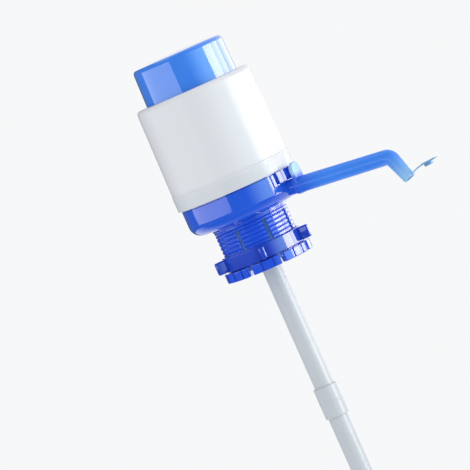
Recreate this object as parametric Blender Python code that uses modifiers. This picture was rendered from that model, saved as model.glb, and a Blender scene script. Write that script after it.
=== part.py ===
"""Hand pump for a water jug.

Metres, +Z up. The origin is on the pump's axis at the underside of the neck gasket, where the rim
of the jug seats. The spout points along +X. Pressing the cap squeezes the bellows, the bellows
blows air into the jug, and the air drives water up the dip tube, through the elbow and out of the
spout. Eight slotted fingers hold the neck of the jug, and the lock ring winds down over them.
"""

import math

import bmesh
import bpy
from mathutils import Matrix, Vector

# Fits and facets
FIT = 0.0003
OVERRUN = 0.0010
SINK = 0.0006
WELD = 0.00001
ROUND_STEPS = 36
SMALL_STEPS = 16
SCREW_STEPS = 8
ARC_STEPS = 4
SHARP_ANGLE = math.radians(32)

# Neck gasket
GASKET_THICKNESS = 0.0024
GASKET_INNER_RADIUS = 0.0182
GASKET_LIP = 0.0008

# Clamp collet, sized by the neck of the jug. Its wall is measured over the crests of its thread
NECK_BORE_RADIUS = 0.0286
COLLET_WALL = 0.0027
WEB_THICKNESS = 0.0020
COLLET_LENGTH = 0.0417
FLANGE_OVERHANG = 0.0007
TIP_REACH = 0.0057
TIP_HEIGHT = 0.0079
TIP_CHAMFER = 0.0007
LEAD_IN = 0.0012
BEAD_HEIGHT = 0.0006
BEAD_WIDTH = 0.0020
BEAD_RISE = 0.0032
FINGER_COUNT = 8
SLOT_WIDTH = 0.0030
SLOT_DROP = 0.0031
SLOT_TURN = math.radians(5.5)
TIP_GROOVE_WIDTH = 0.0012
TIP_GROOVE_DEPTH = 0.0011
TIP_GROOVE_TURNS = (math.radians(17.5), math.radians(32.5))

# Lock ring
RING_HEIGHT = 0.0122
RING_WALL = 0.0020
RING_CHAMFER = 0.0006
LUG_COUNT = 5
LUG_REACH = 0.0088
LUG_WIDTH = 0.0047
LUG_HEIGHT = 0.0106
LUG_DROP = 0.0006
LUG_ROUNDING = 0.0012
LUG_TURN = math.radians(12)

# Screws, the same in the neck and in the bellows seat
SCREW_RADIUS = 0.00145
SCREW_LENGTH = 0.0095
SCREW_HEAD_RADIUS = 0.0029
SCREW_HEAD_HEIGHT = 0.0020
SCREW_HEAD_CROWN = 0.0006
SCREW_SLOT_WIDTH = 0.0009
SCREW_SLOT_DEPTH = 0.0008
SCREW_COUNT = 3
SCREW_TURN = math.radians(60)
BOSS_WALL = 0.0016
BOSS_FLOOR = 0.0012
NECK_SCREW_CIRCLE = 0.0144
SEAT_SCREW_INSET = 0.0051
SCREW_HEAD_ROOM = 0.0009
AIR_HOLE_RADIUS = 0.0022

# Base pan
PAN_RADIUS = 0.0478
PAN_WALL = 0.0022
PAN_FLOOR = 0.0022
PAN_CORNER = 0.0096
PAN_SHOWN_HEIGHT = 0.0243
PAN_HIDDEN_HEIGHT = 0.0106
SEAT_LEDGE_HEIGHT = 0.0183
SEAT_LEDGE_WIDTH = 0.0022
SEAT_LEDGE_THICKNESS = 0.0020
SNAP_HEIGHT = 0.0300
SNAP_WIDTH = 0.0020
SNAP_DEPTH = 0.0008
POCKET_HALF_ANGLE = math.radians(18.5)
POCKET_DEPTH = 0.0042
POCKET_FLOOR_HEIGHT = 0.0147
POCKET_HIDDEN_HEIGHT = 0.0022
POCKET_BACK_WALL = 0.0022
FRAME_WIDTH = 0.0030
FRAME_PROUD = 0.0009

# Outer casing
CASING_HEIGHT = 0.0869
CASING_OVERHANG = 0.0010
CASING_WALL = 0.0022
CASING_LIP = 0.0024
CASING_CORNER = 0.0036
CASING_TAPER = 0.0011
SKIRT_HEIGHT = 0.0124
SKIRT_WALL = 0.0022
SKIRT_STEP = 0.0005
SKIRT_ROUNDING = 0.0007
PANEL_HALF_ANGLE = math.radians(20)
PANEL_DEPTH = 0.0006
PANEL_HEIGHT = 0.0106

# Press cap
CAP_INSET = 0.0096
CAP_DRAFT = 0.0008
CAP_WALL = 0.0020
CAP_SHOWN_HEIGHT = 0.0304
CAP_CROWN = 0.0020
CAP_CORNER = 0.0032
GUIDE_CLEARANCE = 0.0004
GUIDE_WALL = 0.0020
GUIDE_HEIGHT = 0.0125
GUIDE_FLANGE = 0.0022
PRESS_RIB_RADIUS = 0.0140
PRESS_RIB_WALL = 0.0020
PRESS_RIB_SLOT = 0.0040
PRESS_RIB_DROP = 0.0040

# Bellows and what holds it
BELLOWS_SWELL = 0.0046
BELLOWS_FOLD_DEPTH = 0.0068
BELLOWS_WALL = 0.0011
BELLOWS_FOLD_PITCH = 0.0110
COLLAR_WALL = 0.0014
LOWER_COLLAR_HEIGHT = 0.0070
UPPER_COLLAR_HEIGHT = 0.0080
COLLAR_LIP = 0.0030
BELLOWS_FLANGE = 0.0056
SEAT_THICKNESS = 0.0024
CLAMP_RING_WALL = 0.0024
CLAMP_RING_THICKNESS = 0.0024
TOP_PLATE_THICKNESS = 0.0024

# Flap valves
FLAP_RADIUS = 0.0090
FLAP_THICKNESS = 0.0008
VALVE_STEM_RADIUS = 0.0015
VALVE_BULB_RADIUS = 0.0024
VALVE_BULB_HEIGHT = 0.0017
VALVE_PORT_RADIUS = 0.0018
VALVE_PORT_CIRCLE = 0.0057
VALVE_PORT_COUNT = 4
VALVE_PORT_TURN = math.radians(11)
DELIVERY_VALVE_OFFSET = 0.0160

# Spout
SPOUT_SLOPE = math.radians(4.03)
SPOUT_HEIGHT = 0.0078
SPOUT_RUN = 0.0940
SPOUT_LEG_TILT = math.radians(22)
SPOUT_LEG_LENGTH = 0.0234
SPOUT_ROOT_RADIUS = 0.0066
SPOUT_BEND_RADIUS = 0.00615
SPOUT_TIP_RADIUS = 0.0051
SPOUT_WALL = 0.0019
SPOUT_TIP_WALL = 0.0010
SPOUT_BEND_SLACK = 0.0005
SPOUT_COLLAR_RADIUS = 0.0072
SPOUT_COLLAR_LENGTH = 0.0070
SHANK_RADIUS = 0.0046
SHANK_LENGTH = 0.0285
WATER_BORE_RADIUS = 0.0033
SPOUT_BOSS_RADIUS = 0.0064
SPOUT_BOSS_REACH = 0.0051
SPOUT_BOSS_LENGTH = 0.0130
THUMB_TAB_WIDTH = 0.0130
THUMB_TAB_THICKNESS = 0.0033
THUMB_TAB_HEIGHT = 0.0190
THUMB_TAB_INSET = 0.0040
SEAL_SECTION = 0.00050
SEAL_GROOVE_DEPTH = 0.0010
SEAL_GROOVE_WIDTH = 0.0016
SEAL_INSET = 0.0050

# Dust cap and its living hinge
HINGE_REACH = 0.0109
HINGE_RISE = 0.0007
HINGE_SWING = math.radians(162.5)
STRAP_WIDTH = 0.0040
STRAP_THICKNESS = 0.0009
STRAP_OFFSET = 0.00015
STRAP_END_GAP = 0.0002
LID_RADIUS = 0.0058
LID_THICKNESS = 0.0012
LID_TAB_LENGTH = 0.0030
LID_TAB_WIDTH = 0.0044
PLUG_HEIGHT = 0.0024
PLUG_CHAMFER = 0.0005

# Water elbow
ELBOW_RADIUS = 0.0057
ELBOW_BEND_RADIUS = 0.0065
ELBOW_FLANGE_RADIUS = 0.0085
ELBOW_FLANGE_THICKNESS = 0.0018
SPIGOT_RADIUS = 0.0050
SPIGOT_DEPTH = 0.0085
SOCKET_DEPTH = 0.0160

# Dip tube, its adapter and couplers
TUBE_RADIUS = 0.0080
TUBE_WALL = 0.0012
TUBE_SECTION_LENGTH = 0.1500
TUBE_FOOT_TILT = math.radians(35)
SEAL_WASHER_THICKNESS = 0.0010
SEAL_WASHER_RADIUS = 0.0098
ADAPTER_FLANGE_RADIUS = 0.0105
ADAPTER_FLANGE_THICKNESS = 0.0022
ADAPTER_BODY_HEIGHT = 0.0060
BARB_LENGTH = 0.0170
BARB_COUNT = 3
BARB_DEPTH = 0.0005
BARB_BORE_RADIUS = 0.0046
COUPLER_WALL = 0.0014
COUPLER_LENGTH = 0.0260
COUPLER_STOP_THICKNESS = 0.0012
COUPLER_STOP_DEPTH = 0.0012
COUPLER_CHAMFER = 0.0005

# Levels up the axis, each from the piece below it
WEB_BOTTOM = GASKET_THICKNESS + FIT
WEB_TOP = WEB_BOTTOM + WEB_THICKNESS
PAN_BOTTOM = WEB_TOP + FIT
PAN_FLOOR_TOP = PAN_BOTTOM + PAN_FLOOR
CASING_BOTTOM = PAN_BOTTOM + PAN_SHOWN_HEIGHT
PAN_TOP = CASING_BOTTOM + PAN_HIDDEN_HEIGHT
CASING_TOP = CASING_BOTTOM + CASING_HEIGHT
SEAT_BOTTOM = PAN_BOTTOM + SEAT_LEDGE_HEIGHT + FIT
SEAT_TOP = SEAT_BOTTOM + SEAT_THICKNESS
CAP_STOP = CASING_TOP - CASING_LIP - FIT
CAP_BOTTOM = CAP_STOP - GUIDE_HEIGHT
CAP_SHOULDER = CASING_TOP + CAP_SHOWN_HEIGHT
CROWN_TOP = CAP_SHOULDER + CAP_CROWN
CROWN_BOTTOM = CAP_SHOULDER - CAP_WALL
BELLOWS_BOTTOM = SEAT_TOP + FIT
BELLOWS_TOP = CROWN_BOTTOM - CAP_CORNER - PRESS_RIB_DROP
TOP_PLATE_TOP = BELLOWS_TOP - COLLAR_WALL - FIT
TOP_PLATE_BOTTOM = TOP_PLATE_TOP - TOP_PLATE_THICKNESS
TIP_BOTTOM = WEB_BOTTOM - COLLET_LENGTH
TIP_TOP = TIP_BOTTOM + TIP_HEIGHT
RING_BOTTOM = TIP_TOP + FIT
WASHER_TOP = WEB_BOTTOM - FIT
WASHER_BOTTOM = WASHER_TOP - SEAL_WASHER_THICKNESS
ADAPTER_TOP = WASHER_BOTTOM - FIT
ADAPTER_SHOULDER = ADAPTER_TOP - ADAPTER_FLANGE_THICKNESS - ADAPTER_BODY_HEIGHT
TUBE_TOP = ADAPTER_SHOULDER - FIT

# Radii that follow from the pieces they fit
COLLET_RADIUS = NECK_BORE_RADIUS + COLLET_WALL
TIP_RADIUS = COLLET_RADIUS + TIP_REACH
RING_INNER_RADIUS = COLLET_RADIUS + FIT
RING_RADIUS = RING_INNER_RADIUS + RING_WALL
PAN_INNER_RADIUS = PAN_RADIUS - PAN_WALL
SEAT_SCREW_CIRCLE = PAN_INNER_RADIUS - SEAT_SCREW_INSET
CLAMP_RING_RADIUS = SEAT_SCREW_CIRCLE - SCREW_HEAD_RADIUS - SCREW_HEAD_ROOM
FLANGE_RADIUS = CLAMP_RING_RADIUS - CLAMP_RING_WALL - FIT
COLLAR_OUTER_RADIUS = FLANGE_RADIUS - BELLOWS_FLANGE
COLLAR_RADIUS = COLLAR_OUTER_RADIUS - COLLAR_WALL
BELLOWS_RADIUS = COLLAR_OUTER_RADIUS + BELLOWS_SWELL
SKIRT_INNER_RADIUS = PAN_RADIUS + FIT
CASING_TOP_RADIUS = PAN_RADIUS + CASING_OVERHANG
CAP_RADIUS = CASING_TOP_RADIUS - CAP_INSET
CAP_TOP_RADIUS = CAP_RADIUS - CAP_DRAFT
SKIRT_RADIUS = SKIRT_INNER_RADIUS + SKIRT_WALL
GUIDE_RADIUS = CASING_TOP_RADIUS - CASING_WALL - GUIDE_CLEARANCE
BOSS_RADIUS = SCREW_RADIUS + BOSS_WALL
SCREW_HOLE_RADIUS = SCREW_RADIUS + FIT
SPIGOT_HOLE_RADIUS = SPIGOT_RADIUS + FIT
STEM_HOLE_RADIUS = VALVE_STEM_RADIUS + FIT
TUBE_BORE_RADIUS = TUBE_RADIUS - TUBE_WALL
BARB_RADIUS = TUBE_BORE_RADIUS - FIT
COUPLER_INNER_RADIUS = TUBE_RADIUS + FIT
POCKET_BACK_RADIUS = PAN_RADIUS - POCKET_DEPTH
POCKET_BLOCK_RADIUS = POCKET_BACK_RADIUS - POCKET_BACK_WALL

# The spout's line: straight out and down from the wall of the pan, then the leg to the mouth
SPOUT_ROOT = Vector((PAN_RADIUS, 0, PAN_BOTTOM + SPOUT_HEIGHT))
ALONG = Vector((math.cos(SPOUT_SLOPE), 0, -math.sin(SPOUT_SLOPE)))
LEG = Vector((math.sin(SPOUT_LEG_TILT), 0, -math.cos(SPOUT_LEG_TILT)))
ACROSS = Vector((math.cos(SPOUT_LEG_TILT), 0, math.sin(SPOUT_LEG_TILT)))
SPOUT_BEND = SPOUT_ROOT + ALONG * SPOUT_RUN
MOUTH = SPOUT_BEND + LEG * SPOUT_LEG_LENGTH
HINGE = MOUTH + ACROSS * HINGE_REACH - LEG * HINGE_RISE
ELBOW_CORNER = SPOUT_ROOT - ALONG * (PAN_RADIUS / ALONG.x)
BOSS_END = SPOUT_ROOT + ALONG * SPOUT_BOSS_REACH
BOSS_START = BOSS_END - ALONG * SPOUT_BOSS_LENGTH
COLLAR_START = BOSS_END + ALONG * FIT
SHANK_START = COLLAR_START - ALONG * SHANK_LENGTH
ELBOW_END = BOSS_START - ALONG * FIT
SEAL_CENTRE = SHANK_START + ALONG * SEAL_INSET

# Colours of the plastics, rubbers and steel
COLOURS = {
    "cap_blue": ((0.045, 0.170, 0.800), 0.16, 0.0),
    "pan_blue": ((0.022, 0.095, 0.660), 0.18, 0.0),
    "collet_blue": ((0.018, 0.070, 0.560), 0.22, 0.0),
    "ring_blue": ((0.022, 0.060, 0.500), 0.24, 0.0),
    "spout_blue": ((0.070, 0.240, 0.800), 0.18, 0.0),
    "casing_white": ((0.830, 0.840, 0.850), 0.32, 0.0),
    "tube_white": ((0.800, 0.820, 0.830), 0.30, 0.0),
    "bellows_grey": ((0.620, 0.640, 0.660), 0.55, 0.0),
    "silicone": ((0.700, 0.710, 0.700), 0.60, 0.0),
    "steel": ((0.560, 0.560, 0.560), 0.30, 1.0),
}


def clear_scene():
    """Empties the scene."""
    for found in list(bpy.data.objects):
        bpy.data.objects.remove(found, do_unlink=True)


def new_collection(name):
    """A collection linked to the scene."""
    made = bpy.data.collections.new(name)
    bpy.context.scene.collection.children.link(made)
    return made


def piece_material(name, finish):
    """The piece's own Principled BSDF material in one of the named finishes."""
    colour, roughness, metallic = COLOURS[finish]
    made = bpy.data.materials.new(name + "_" + finish)
    made.use_nodes = True
    shader = made.node_tree.nodes["Principled BSDF"]
    shader.inputs["Base Color"].default_value = (*colour, 1)
    shader.inputs["Roughness"].default_value = roughness
    shader.inputs["Metallic"].default_value = metallic
    made.diffuse_color = (*colour, 1)
    return made


def shade_group():
    """A node group that shades smooth and keeps edges over SHARP_ANGLE crisp."""
    group = bpy.data.node_groups.new("Shade by angle", "GeometryNodeTree")
    group.interface.new_socket("Geometry", in_out="INPUT", socket_type="NodeSocketGeometry")
    group.interface.new_socket("Geometry", in_out="OUTPUT", socket_type="NodeSocketGeometry")
    start = group.nodes.new("NodeGroupInput")
    end = group.nodes.new("NodeGroupOutput")
    faces = group.nodes.new("GeometryNodeSetShadeSmooth")
    edges = group.nodes.new("GeometryNodeSetShadeSmooth")
    edges.domain = "EDGE"
    edges.inputs["Shade Smooth"].default_value = False
    angle = group.nodes.new("GeometryNodeInputMeshEdgeAngle")
    over = group.nodes.new("FunctionNodeCompare")
    over.operation = "GREATER_THAN"
    over.inputs["B"].default_value = SHARP_ANGLE
    group.links.new(start.outputs[0], faces.inputs["Geometry"])
    group.links.new(faces.outputs[0], edges.inputs["Geometry"])
    group.links.new(angle.outputs["Unsigned Angle"], over.inputs["A"])
    group.links.new(over.outputs["Result"], edges.inputs["Selection"])
    group.links.new(edges.outputs[0], end.inputs[0])
    return group


def polar(radius, turn, height=0.0):
    """The point at this radius and angle round Z."""
    return Vector((radius * math.cos(turn), radius * math.sin(turn), height))


def arc(centre, radius, start, end, steps=ARC_STEPS):
    """Points of a profile's arc between two angles in degrees, ends included."""
    turns = [math.radians(start + (end - start) * k / steps) for k in range(steps + 1)]
    return [(centre[0] + radius * math.cos(a), centre[1] + radius * math.sin(a)) for a in turns]


def pointing(place, direction):
    """The matrix that puts local +Z along a direction in the XZ plane, at a place."""
    turn = math.atan2(direction.x, direction.z)
    return Matrix.Translation(place) @ Matrix.Rotation(turn, 4, "Y")


def object_of(name, mesh, collection):
    """A new object round a mesh."""
    made = bpy.data.objects.new(name, mesh)
    collection.objects.link(made)
    return made


def mesh_of(name, bm):
    """A mesh from a bmesh with its normals turned outwards."""
    bmesh.ops.recalc_face_normals(bm, faces=bm.faces)
    mesh = bpy.data.meshes.new(name)
    bm.to_mesh(mesh)
    bm.free()
    return mesh


def as_tool(tool):
    """Hides a cutter or a shape that a Boolean joins, and draws it as wire."""
    for home in list(tool.users_collection):
        home.objects.unlink(tool)
    tool_shelf.objects.link(tool)
    tool.hide_render = True
    tool.display_type = "WIRE"
    return tool


def turned(name, profile, closed=True, steps=ROUND_STEPS):
    """A turned shape: (radius, height) points, outer side first and downwards, screwed round Z."""
    last = len(profile) - 1
    edges = [(k, k + 1) for k in range(last)]
    if closed:
        edges.append((last, 0))
    mesh = bpy.data.meshes.new(name)
    mesh.from_pydata([(radius, 0, height) for radius, height in profile], edges, [])
    made = object_of(name, mesh, parts)
    screw = made.modifiers.new("Turn", "SCREW")
    screw.steps = steps
    screw.render_steps = steps
    screw.use_merge_vertices = True
    screw.merge_threshold = WELD
    screw.use_smooth_shade = True
    return made


def rods(name, radius, length, places, steps=SMALL_STEPS, end_radius=None):
    """Cylinders or cones in one mesh, each standing on its place along its local +Z."""
    bm = bmesh.new()
    half_step = Matrix.Rotation(math.pi / steps, 4, "Z")
    for place in places:
        bmesh.ops.create_cone(
            bm,
            cap_ends=True,
            segments=steps,
            radius1=radius,
            radius2=radius if end_radius is None else end_radius,
            depth=length,
            matrix=place @ half_step @ Matrix.Translation((0, 0, length / 2)),
        )
    return object_of(name, mesh_of(name, bm), parts)


def blocks(name, size, places):
    """Boxes of one size in one mesh, each centred on its place."""
    bm = bmesh.new()
    scale = Matrix.Diagonal((*size, 1))
    for place in places:
        bmesh.ops.create_cube(bm, size=1, matrix=place @ scale)
    return object_of(name, mesh_of(name, bm), parts)


def arc_block(name, inner, outer, bottom, top, half_angle, steps=8):
    """A block bent round Z, centred on +X: a rectangle spun through twice the half angle."""
    bm = bmesh.new()
    corners = ((inner, bottom), (outer, bottom), (outer, top), (inner, top))
    start = Matrix.Rotation(-half_angle, 3, "Z")
    verts = [bm.verts.new(start @ Vector((radius, 0, height))) for radius, height in corners]
    face = bm.faces.new(verts)
    bmesh.ops.spin(
        bm,
        geom=[face],
        cent=(0, 0, 0),
        axis=(0, 0, 1),
        angle=2 * half_angle,
        steps=steps,
    )
    return object_of(name, mesh_of(name, bm), parts)


def swept(name, points, radii):
    """A round bar along points, with a radius at each, as a mesh with its caps welded on."""
    widest = max(radii)
    curve = bpy.data.curves.new(name, "CURVE")
    curve.dimensions = "3D"
    curve.twist_mode = "MINIMUM"
    curve.bevel_depth = widest
    curve.bevel_resolution = (SMALL_STEPS - 4) // 2
    curve.use_fill_caps = True
    line = curve.splines.new("POLY")
    line.points.add(len(points) - 1)
    for spot, place, radius in zip(line.points, points, radii):
        spot.co = (*place, 1)
        spot.radius = radius / widest
    return as_mesh(object_of(name, curve, parts))


def plate(name, outline, thickness):
    """A flat outline in the local XY plane, thickened both ways along local Z, as a mesh."""
    curve = bpy.data.curves.new(name, "CURVE")
    curve.dimensions = "2D"
    curve.fill_mode = "BOTH"
    curve.extrude = thickness / 2
    line = curve.splines.new("POLY")
    line.use_cyclic_u = True
    line.points.add(len(outline) - 1)
    for spot, (x, y) in zip(line.points, outline):
        spot.co = (x, y, 0, 1)
    return as_mesh(object_of(name, curve, parts))


def as_mesh(drawn):
    """The mesh object that takes a curve object's place, with loose caps welded."""
    bpy.context.view_layer.update()
    graph = bpy.context.evaluated_depsgraph_get()
    bm = bmesh.new()
    bm.from_mesh(bpy.data.meshes.new_from_object(drawn.evaluated_get(graph)))
    bmesh.ops.remove_doubles(bm, verts=bm.verts, dist=WELD)
    name = drawn.name
    place = drawn.matrix_world.copy()
    bpy.data.objects.remove(drawn)
    made = object_of(name, mesh_of(name, bm), parts)
    made.matrix_world = place
    return made


def combine(target, tool, operation):
    """Adds a live EXACT Boolean and puts the other shape away as a tool."""
    change = target.modifiers.new(tool.name, "BOOLEAN")
    change.operation = operation
    change.solver = "EXACT"
    change.object = as_tool(tool)


def join(target, *tools):
    """Joins shapes to a piece."""
    for tool in tools:
        combine(target, tool, "UNION")


def cut(target, *tools):
    """Cuts shapes out of a piece."""
    for tool in tools:
        combine(target, tool, "DIFFERENCE")


def round_edges(piece, width, segments=2, angle=SHARP_ANGLE):
    """Rounds a piece's edges with a Bevel modifier."""
    bevel = piece.modifiers.new("Rounded edges", "BEVEL")
    bevel.width = width
    bevel.segments = segments
    bevel.limit_method = "ANGLE"
    bevel.angle_limit = angle
    bevel.use_clamp_overlap = True
    return bevel


def finish(piece, look, carrier=None):
    """Gives a finished piece its material, its shading and the empty that carries it."""
    piece.data.materials.clear()
    piece.data.materials.append(piece_material(piece.name, look))
    piece.modifiers.new("Shade by angle", "NODES").node_group = shading
    if carrier:
        piece.parent = carrier
        piece.matrix_parent_inverse = carrier.matrix_world.inverted()
    return piece


def carrier_at(name, place):
    """An empty that carries pieces."""
    made = object_of(name, None, parts)
    made.location = place
    bpy.context.view_layer.update()
    return made


def filleted(points, radius, steps=6):
    """The points of a line with an arc at each inner corner."""
    line = [points[0]]
    for before, corner, after in zip(points, points[1:], points[2:]):
        back = (before - corner).normalized()
        ahead = (after - corner).normalized()
        half = back.angle(ahead) / 2
        centre = corner + (back + ahead).normalized() * (radius / math.sin(half))
        first = (corner + back * (radius / math.tan(half)) - centre).normalized()
        last = (corner + ahead * (radius / math.tan(half)) - centre).normalized()
        line += [centre + first.slerp(last, k / steps) * radius for k in range(steps + 1)]
    line.append(points[-1])
    return line


def ring_of_places(count, radius, turn, height):
    """Places evenly round Z, with local +X pointing outwards."""
    turns = [turn + 2 * math.pi * k / count for k in range(count)]
    return [Matrix.Translation(polar(radius, a, height)) @ Matrix.Rotation(a, 4, "Z") for a in turns]


# The neck
def make_gasket():
    """The flat ring that the rim of the jug presses on, with a lip round its outer edge."""
    outer = NECK_BORE_RADIUS - FIT
    profile = [
        (outer, WEB_BOTTOM - FIT),
        (outer, 0),
        (GASKET_INNER_RADIUS + GASKET_LIP, 0),
        (GASKET_INNER_RADIUS, GASKET_LIP),
        (GASKET_INNER_RADIUS, WEB_BOTTOM - FIT),
    ]
    return finish(turned("neck_gasket", profile), "silicone", root)


def make_collet():
    """The clamp collet: web, flange, eight slotted fingers with toothed tips, screw bosses."""
    bead_top = TIP_BOTTOM + BEAD_RISE + BEAD_WIDTH
    bead_crest = NECK_BORE_RADIUS - BEAD_HEIGHT
    flange = COLLET_RADIUS + FLANGE_OVERHANG
    profile = [
        (flange, WEB_TOP),
        (flange, WEB_BOTTOM),
        (COLLET_RADIUS, WEB_BOTTOM),
        (COLLET_RADIUS, TIP_TOP),
        (TIP_RADIUS - TIP_CHAMFER, TIP_TOP),
        (TIP_RADIUS, TIP_TOP - TIP_CHAMFER),
        (TIP_RADIUS, TIP_BOTTOM + TIP_CHAMFER),
        (TIP_RADIUS - TIP_CHAMFER, TIP_BOTTOM),
        (NECK_BORE_RADIUS + LEAD_IN, TIP_BOTTOM),
        (NECK_BORE_RADIUS, TIP_BOTTOM + LEAD_IN),
        (NECK_BORE_RADIUS, TIP_BOTTOM + BEAD_RISE),
        (bead_crest, (TIP_BOTTOM + BEAD_RISE + bead_top) / 2),
        (NECK_BORE_RADIUS, bead_top),
        (NECK_BORE_RADIUS, WEB_BOTTOM),
        (SPIGOT_HOLE_RADIUS, WEB_BOTTOM),
        (SPIGOT_HOLE_RADIUS, WEB_TOP),
    ]
    collet = turned("clamp_collet", profile)
    boss_bottom = PAN_FLOOR_TOP + FIT - SCREW_LENGTH - FIT - BOSS_FLOOR
    boss_length = WEB_BOTTOM + SINK - boss_bottom
    boss_places = ring_of_places(SCREW_COUNT, NECK_SCREW_CIRCLE, SCREW_TURN, boss_bottom)
    bosses = rods("collet_bosses", BOSS_RADIUS, boss_length, boss_places, SCREW_STEPS)
    hole_places = ring_of_places(
        SCREW_COUNT, NECK_SCREW_CIRCLE, SCREW_TURN, boss_bottom + BOSS_FLOOR
    )
    hole_length = WEB_TOP + OVERRUN - boss_bottom - BOSS_FLOOR
    holes = rods("collet_screw_holes", SCREW_HOLE_RADIUS, hole_length, hole_places, SCREW_STEPS)
    air_places = ring_of_places(SCREW_COUNT, NECK_SCREW_CIRCLE, 0, WEB_BOTTOM - OVERRUN)
    air = rods(
        "collet_air_holes",
        AIR_HOLE_RADIUS,
        WEB_THICKNESS + 2 * OVERRUN,
        air_places,
        SCREW_STEPS,
    )
    slot_top = WEB_BOTTOM - SLOT_DROP
    slot_bottom = TIP_BOTTOM - OVERRUN
    slot_places = ring_of_places(FINGER_COUNT, 0, SLOT_TURN, (slot_top + slot_bottom) / 2)
    slots = blocks(
        "finger_slots",
        (2 * (TIP_RADIUS + OVERRUN), SLOT_WIDTH, slot_top - slot_bottom),
        slot_places[: FINGER_COUNT // 2],
    )
    groove_places = []
    for turn in TIP_GROOVE_TURNS:
        middle = TIP_RADIUS - TIP_GROOVE_DEPTH / 2 + OVERRUN / 2
        height = TIP_BOTTOM + TIP_HEIGHT / 2
        groove_places += ring_of_places(FINGER_COUNT, middle, SLOT_TURN + turn, height)
    grooves = blocks(
        "tip_grooves",
        (TIP_GROOVE_DEPTH + OVERRUN, TIP_GROOVE_WIDTH, TIP_HEIGHT + 2 * OVERRUN),
        groove_places,
    )
    join(collet, bosses)
    cut(collet, holes, air, slots, grooves)
    return finish(collet, "collet_blue", root)


def make_lock_ring():
    """The ring that winds down over the fingers, with five lugs to turn it by."""
    half = RING_HEIGHT / 2
    profile = [
        (RING_RADIUS - RING_CHAMFER, half),
        (RING_RADIUS, half - RING_CHAMFER),
        (RING_RADIUS, RING_CHAMFER - half),
        (RING_RADIUS - RING_CHAMFER, -half),
        (RING_INNER_RADIUS, -half),
        (RING_INNER_RADIUS, half),
    ]
    ring = turned("lock_ring", profile)
    ring.location.z = RING_BOTTOM + half
    sunk = RING_RADIUS - RING_WALL / 2
    middle = (sunk + RING_RADIUS + LUG_REACH) / 2
    height = half - LUG_DROP - LUG_HEIGHT / 2
    lugs = blocks(
        "ring_lugs",
        (RING_RADIUS + LUG_REACH - sunk, LUG_WIDTH, LUG_HEIGHT),
        ring_of_places(LUG_COUNT, middle, LUG_TURN, height),
    )
    lugs.location.z = ring.location.z
    round_edges(lugs, LUG_ROUNDING, 2)
    join(ring, lugs)
    return finish(ring, "ring_blue", root)


def make_screw_mesh():
    """The mesh that the six pan-head screws share, its origin under the head."""
    profile = [
        (0, SCREW_HEAD_HEIGHT),
        (SCREW_HEAD_RADIUS - SCREW_HEAD_CROWN, SCREW_HEAD_HEIGHT),
        (SCREW_HEAD_RADIUS, SCREW_HEAD_HEIGHT - SCREW_HEAD_CROWN),
        (SCREW_HEAD_RADIUS, 0),
        (SCREW_RADIUS, 0),
        (SCREW_RADIUS, SCREW_RADIUS - SCREW_LENGTH),
        (0, -SCREW_LENGTH),
    ]
    screw = turned("screw_pattern", profile, closed=False, steps=SCREW_STEPS)
    slot_size = (2 * (SCREW_HEAD_RADIUS + OVERRUN), SCREW_SLOT_WIDTH, 2 * SCREW_SLOT_DEPTH)
    cut(screw, blocks("screw_slot", slot_size, [Matrix.Translation((0, 0, SCREW_HEAD_HEIGHT))]))
    bpy.context.view_layer.update()
    graph = bpy.context.evaluated_depsgraph_get()
    mesh = bpy.data.meshes.new_from_object(screw.evaluated_get(graph))
    as_tool(screw)
    return mesh


def make_screws(name, circle, head_seat, mesh):
    """The screws of one circle, sharing one mesh."""
    for number, place in enumerate(ring_of_places(SCREW_COUNT, circle, SCREW_TURN, head_seat), 1):
        screw = object_of(name + "_" + str(number), mesh, parts)
        screw.matrix_world = place
        finish(screw, "steel", root)


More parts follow.
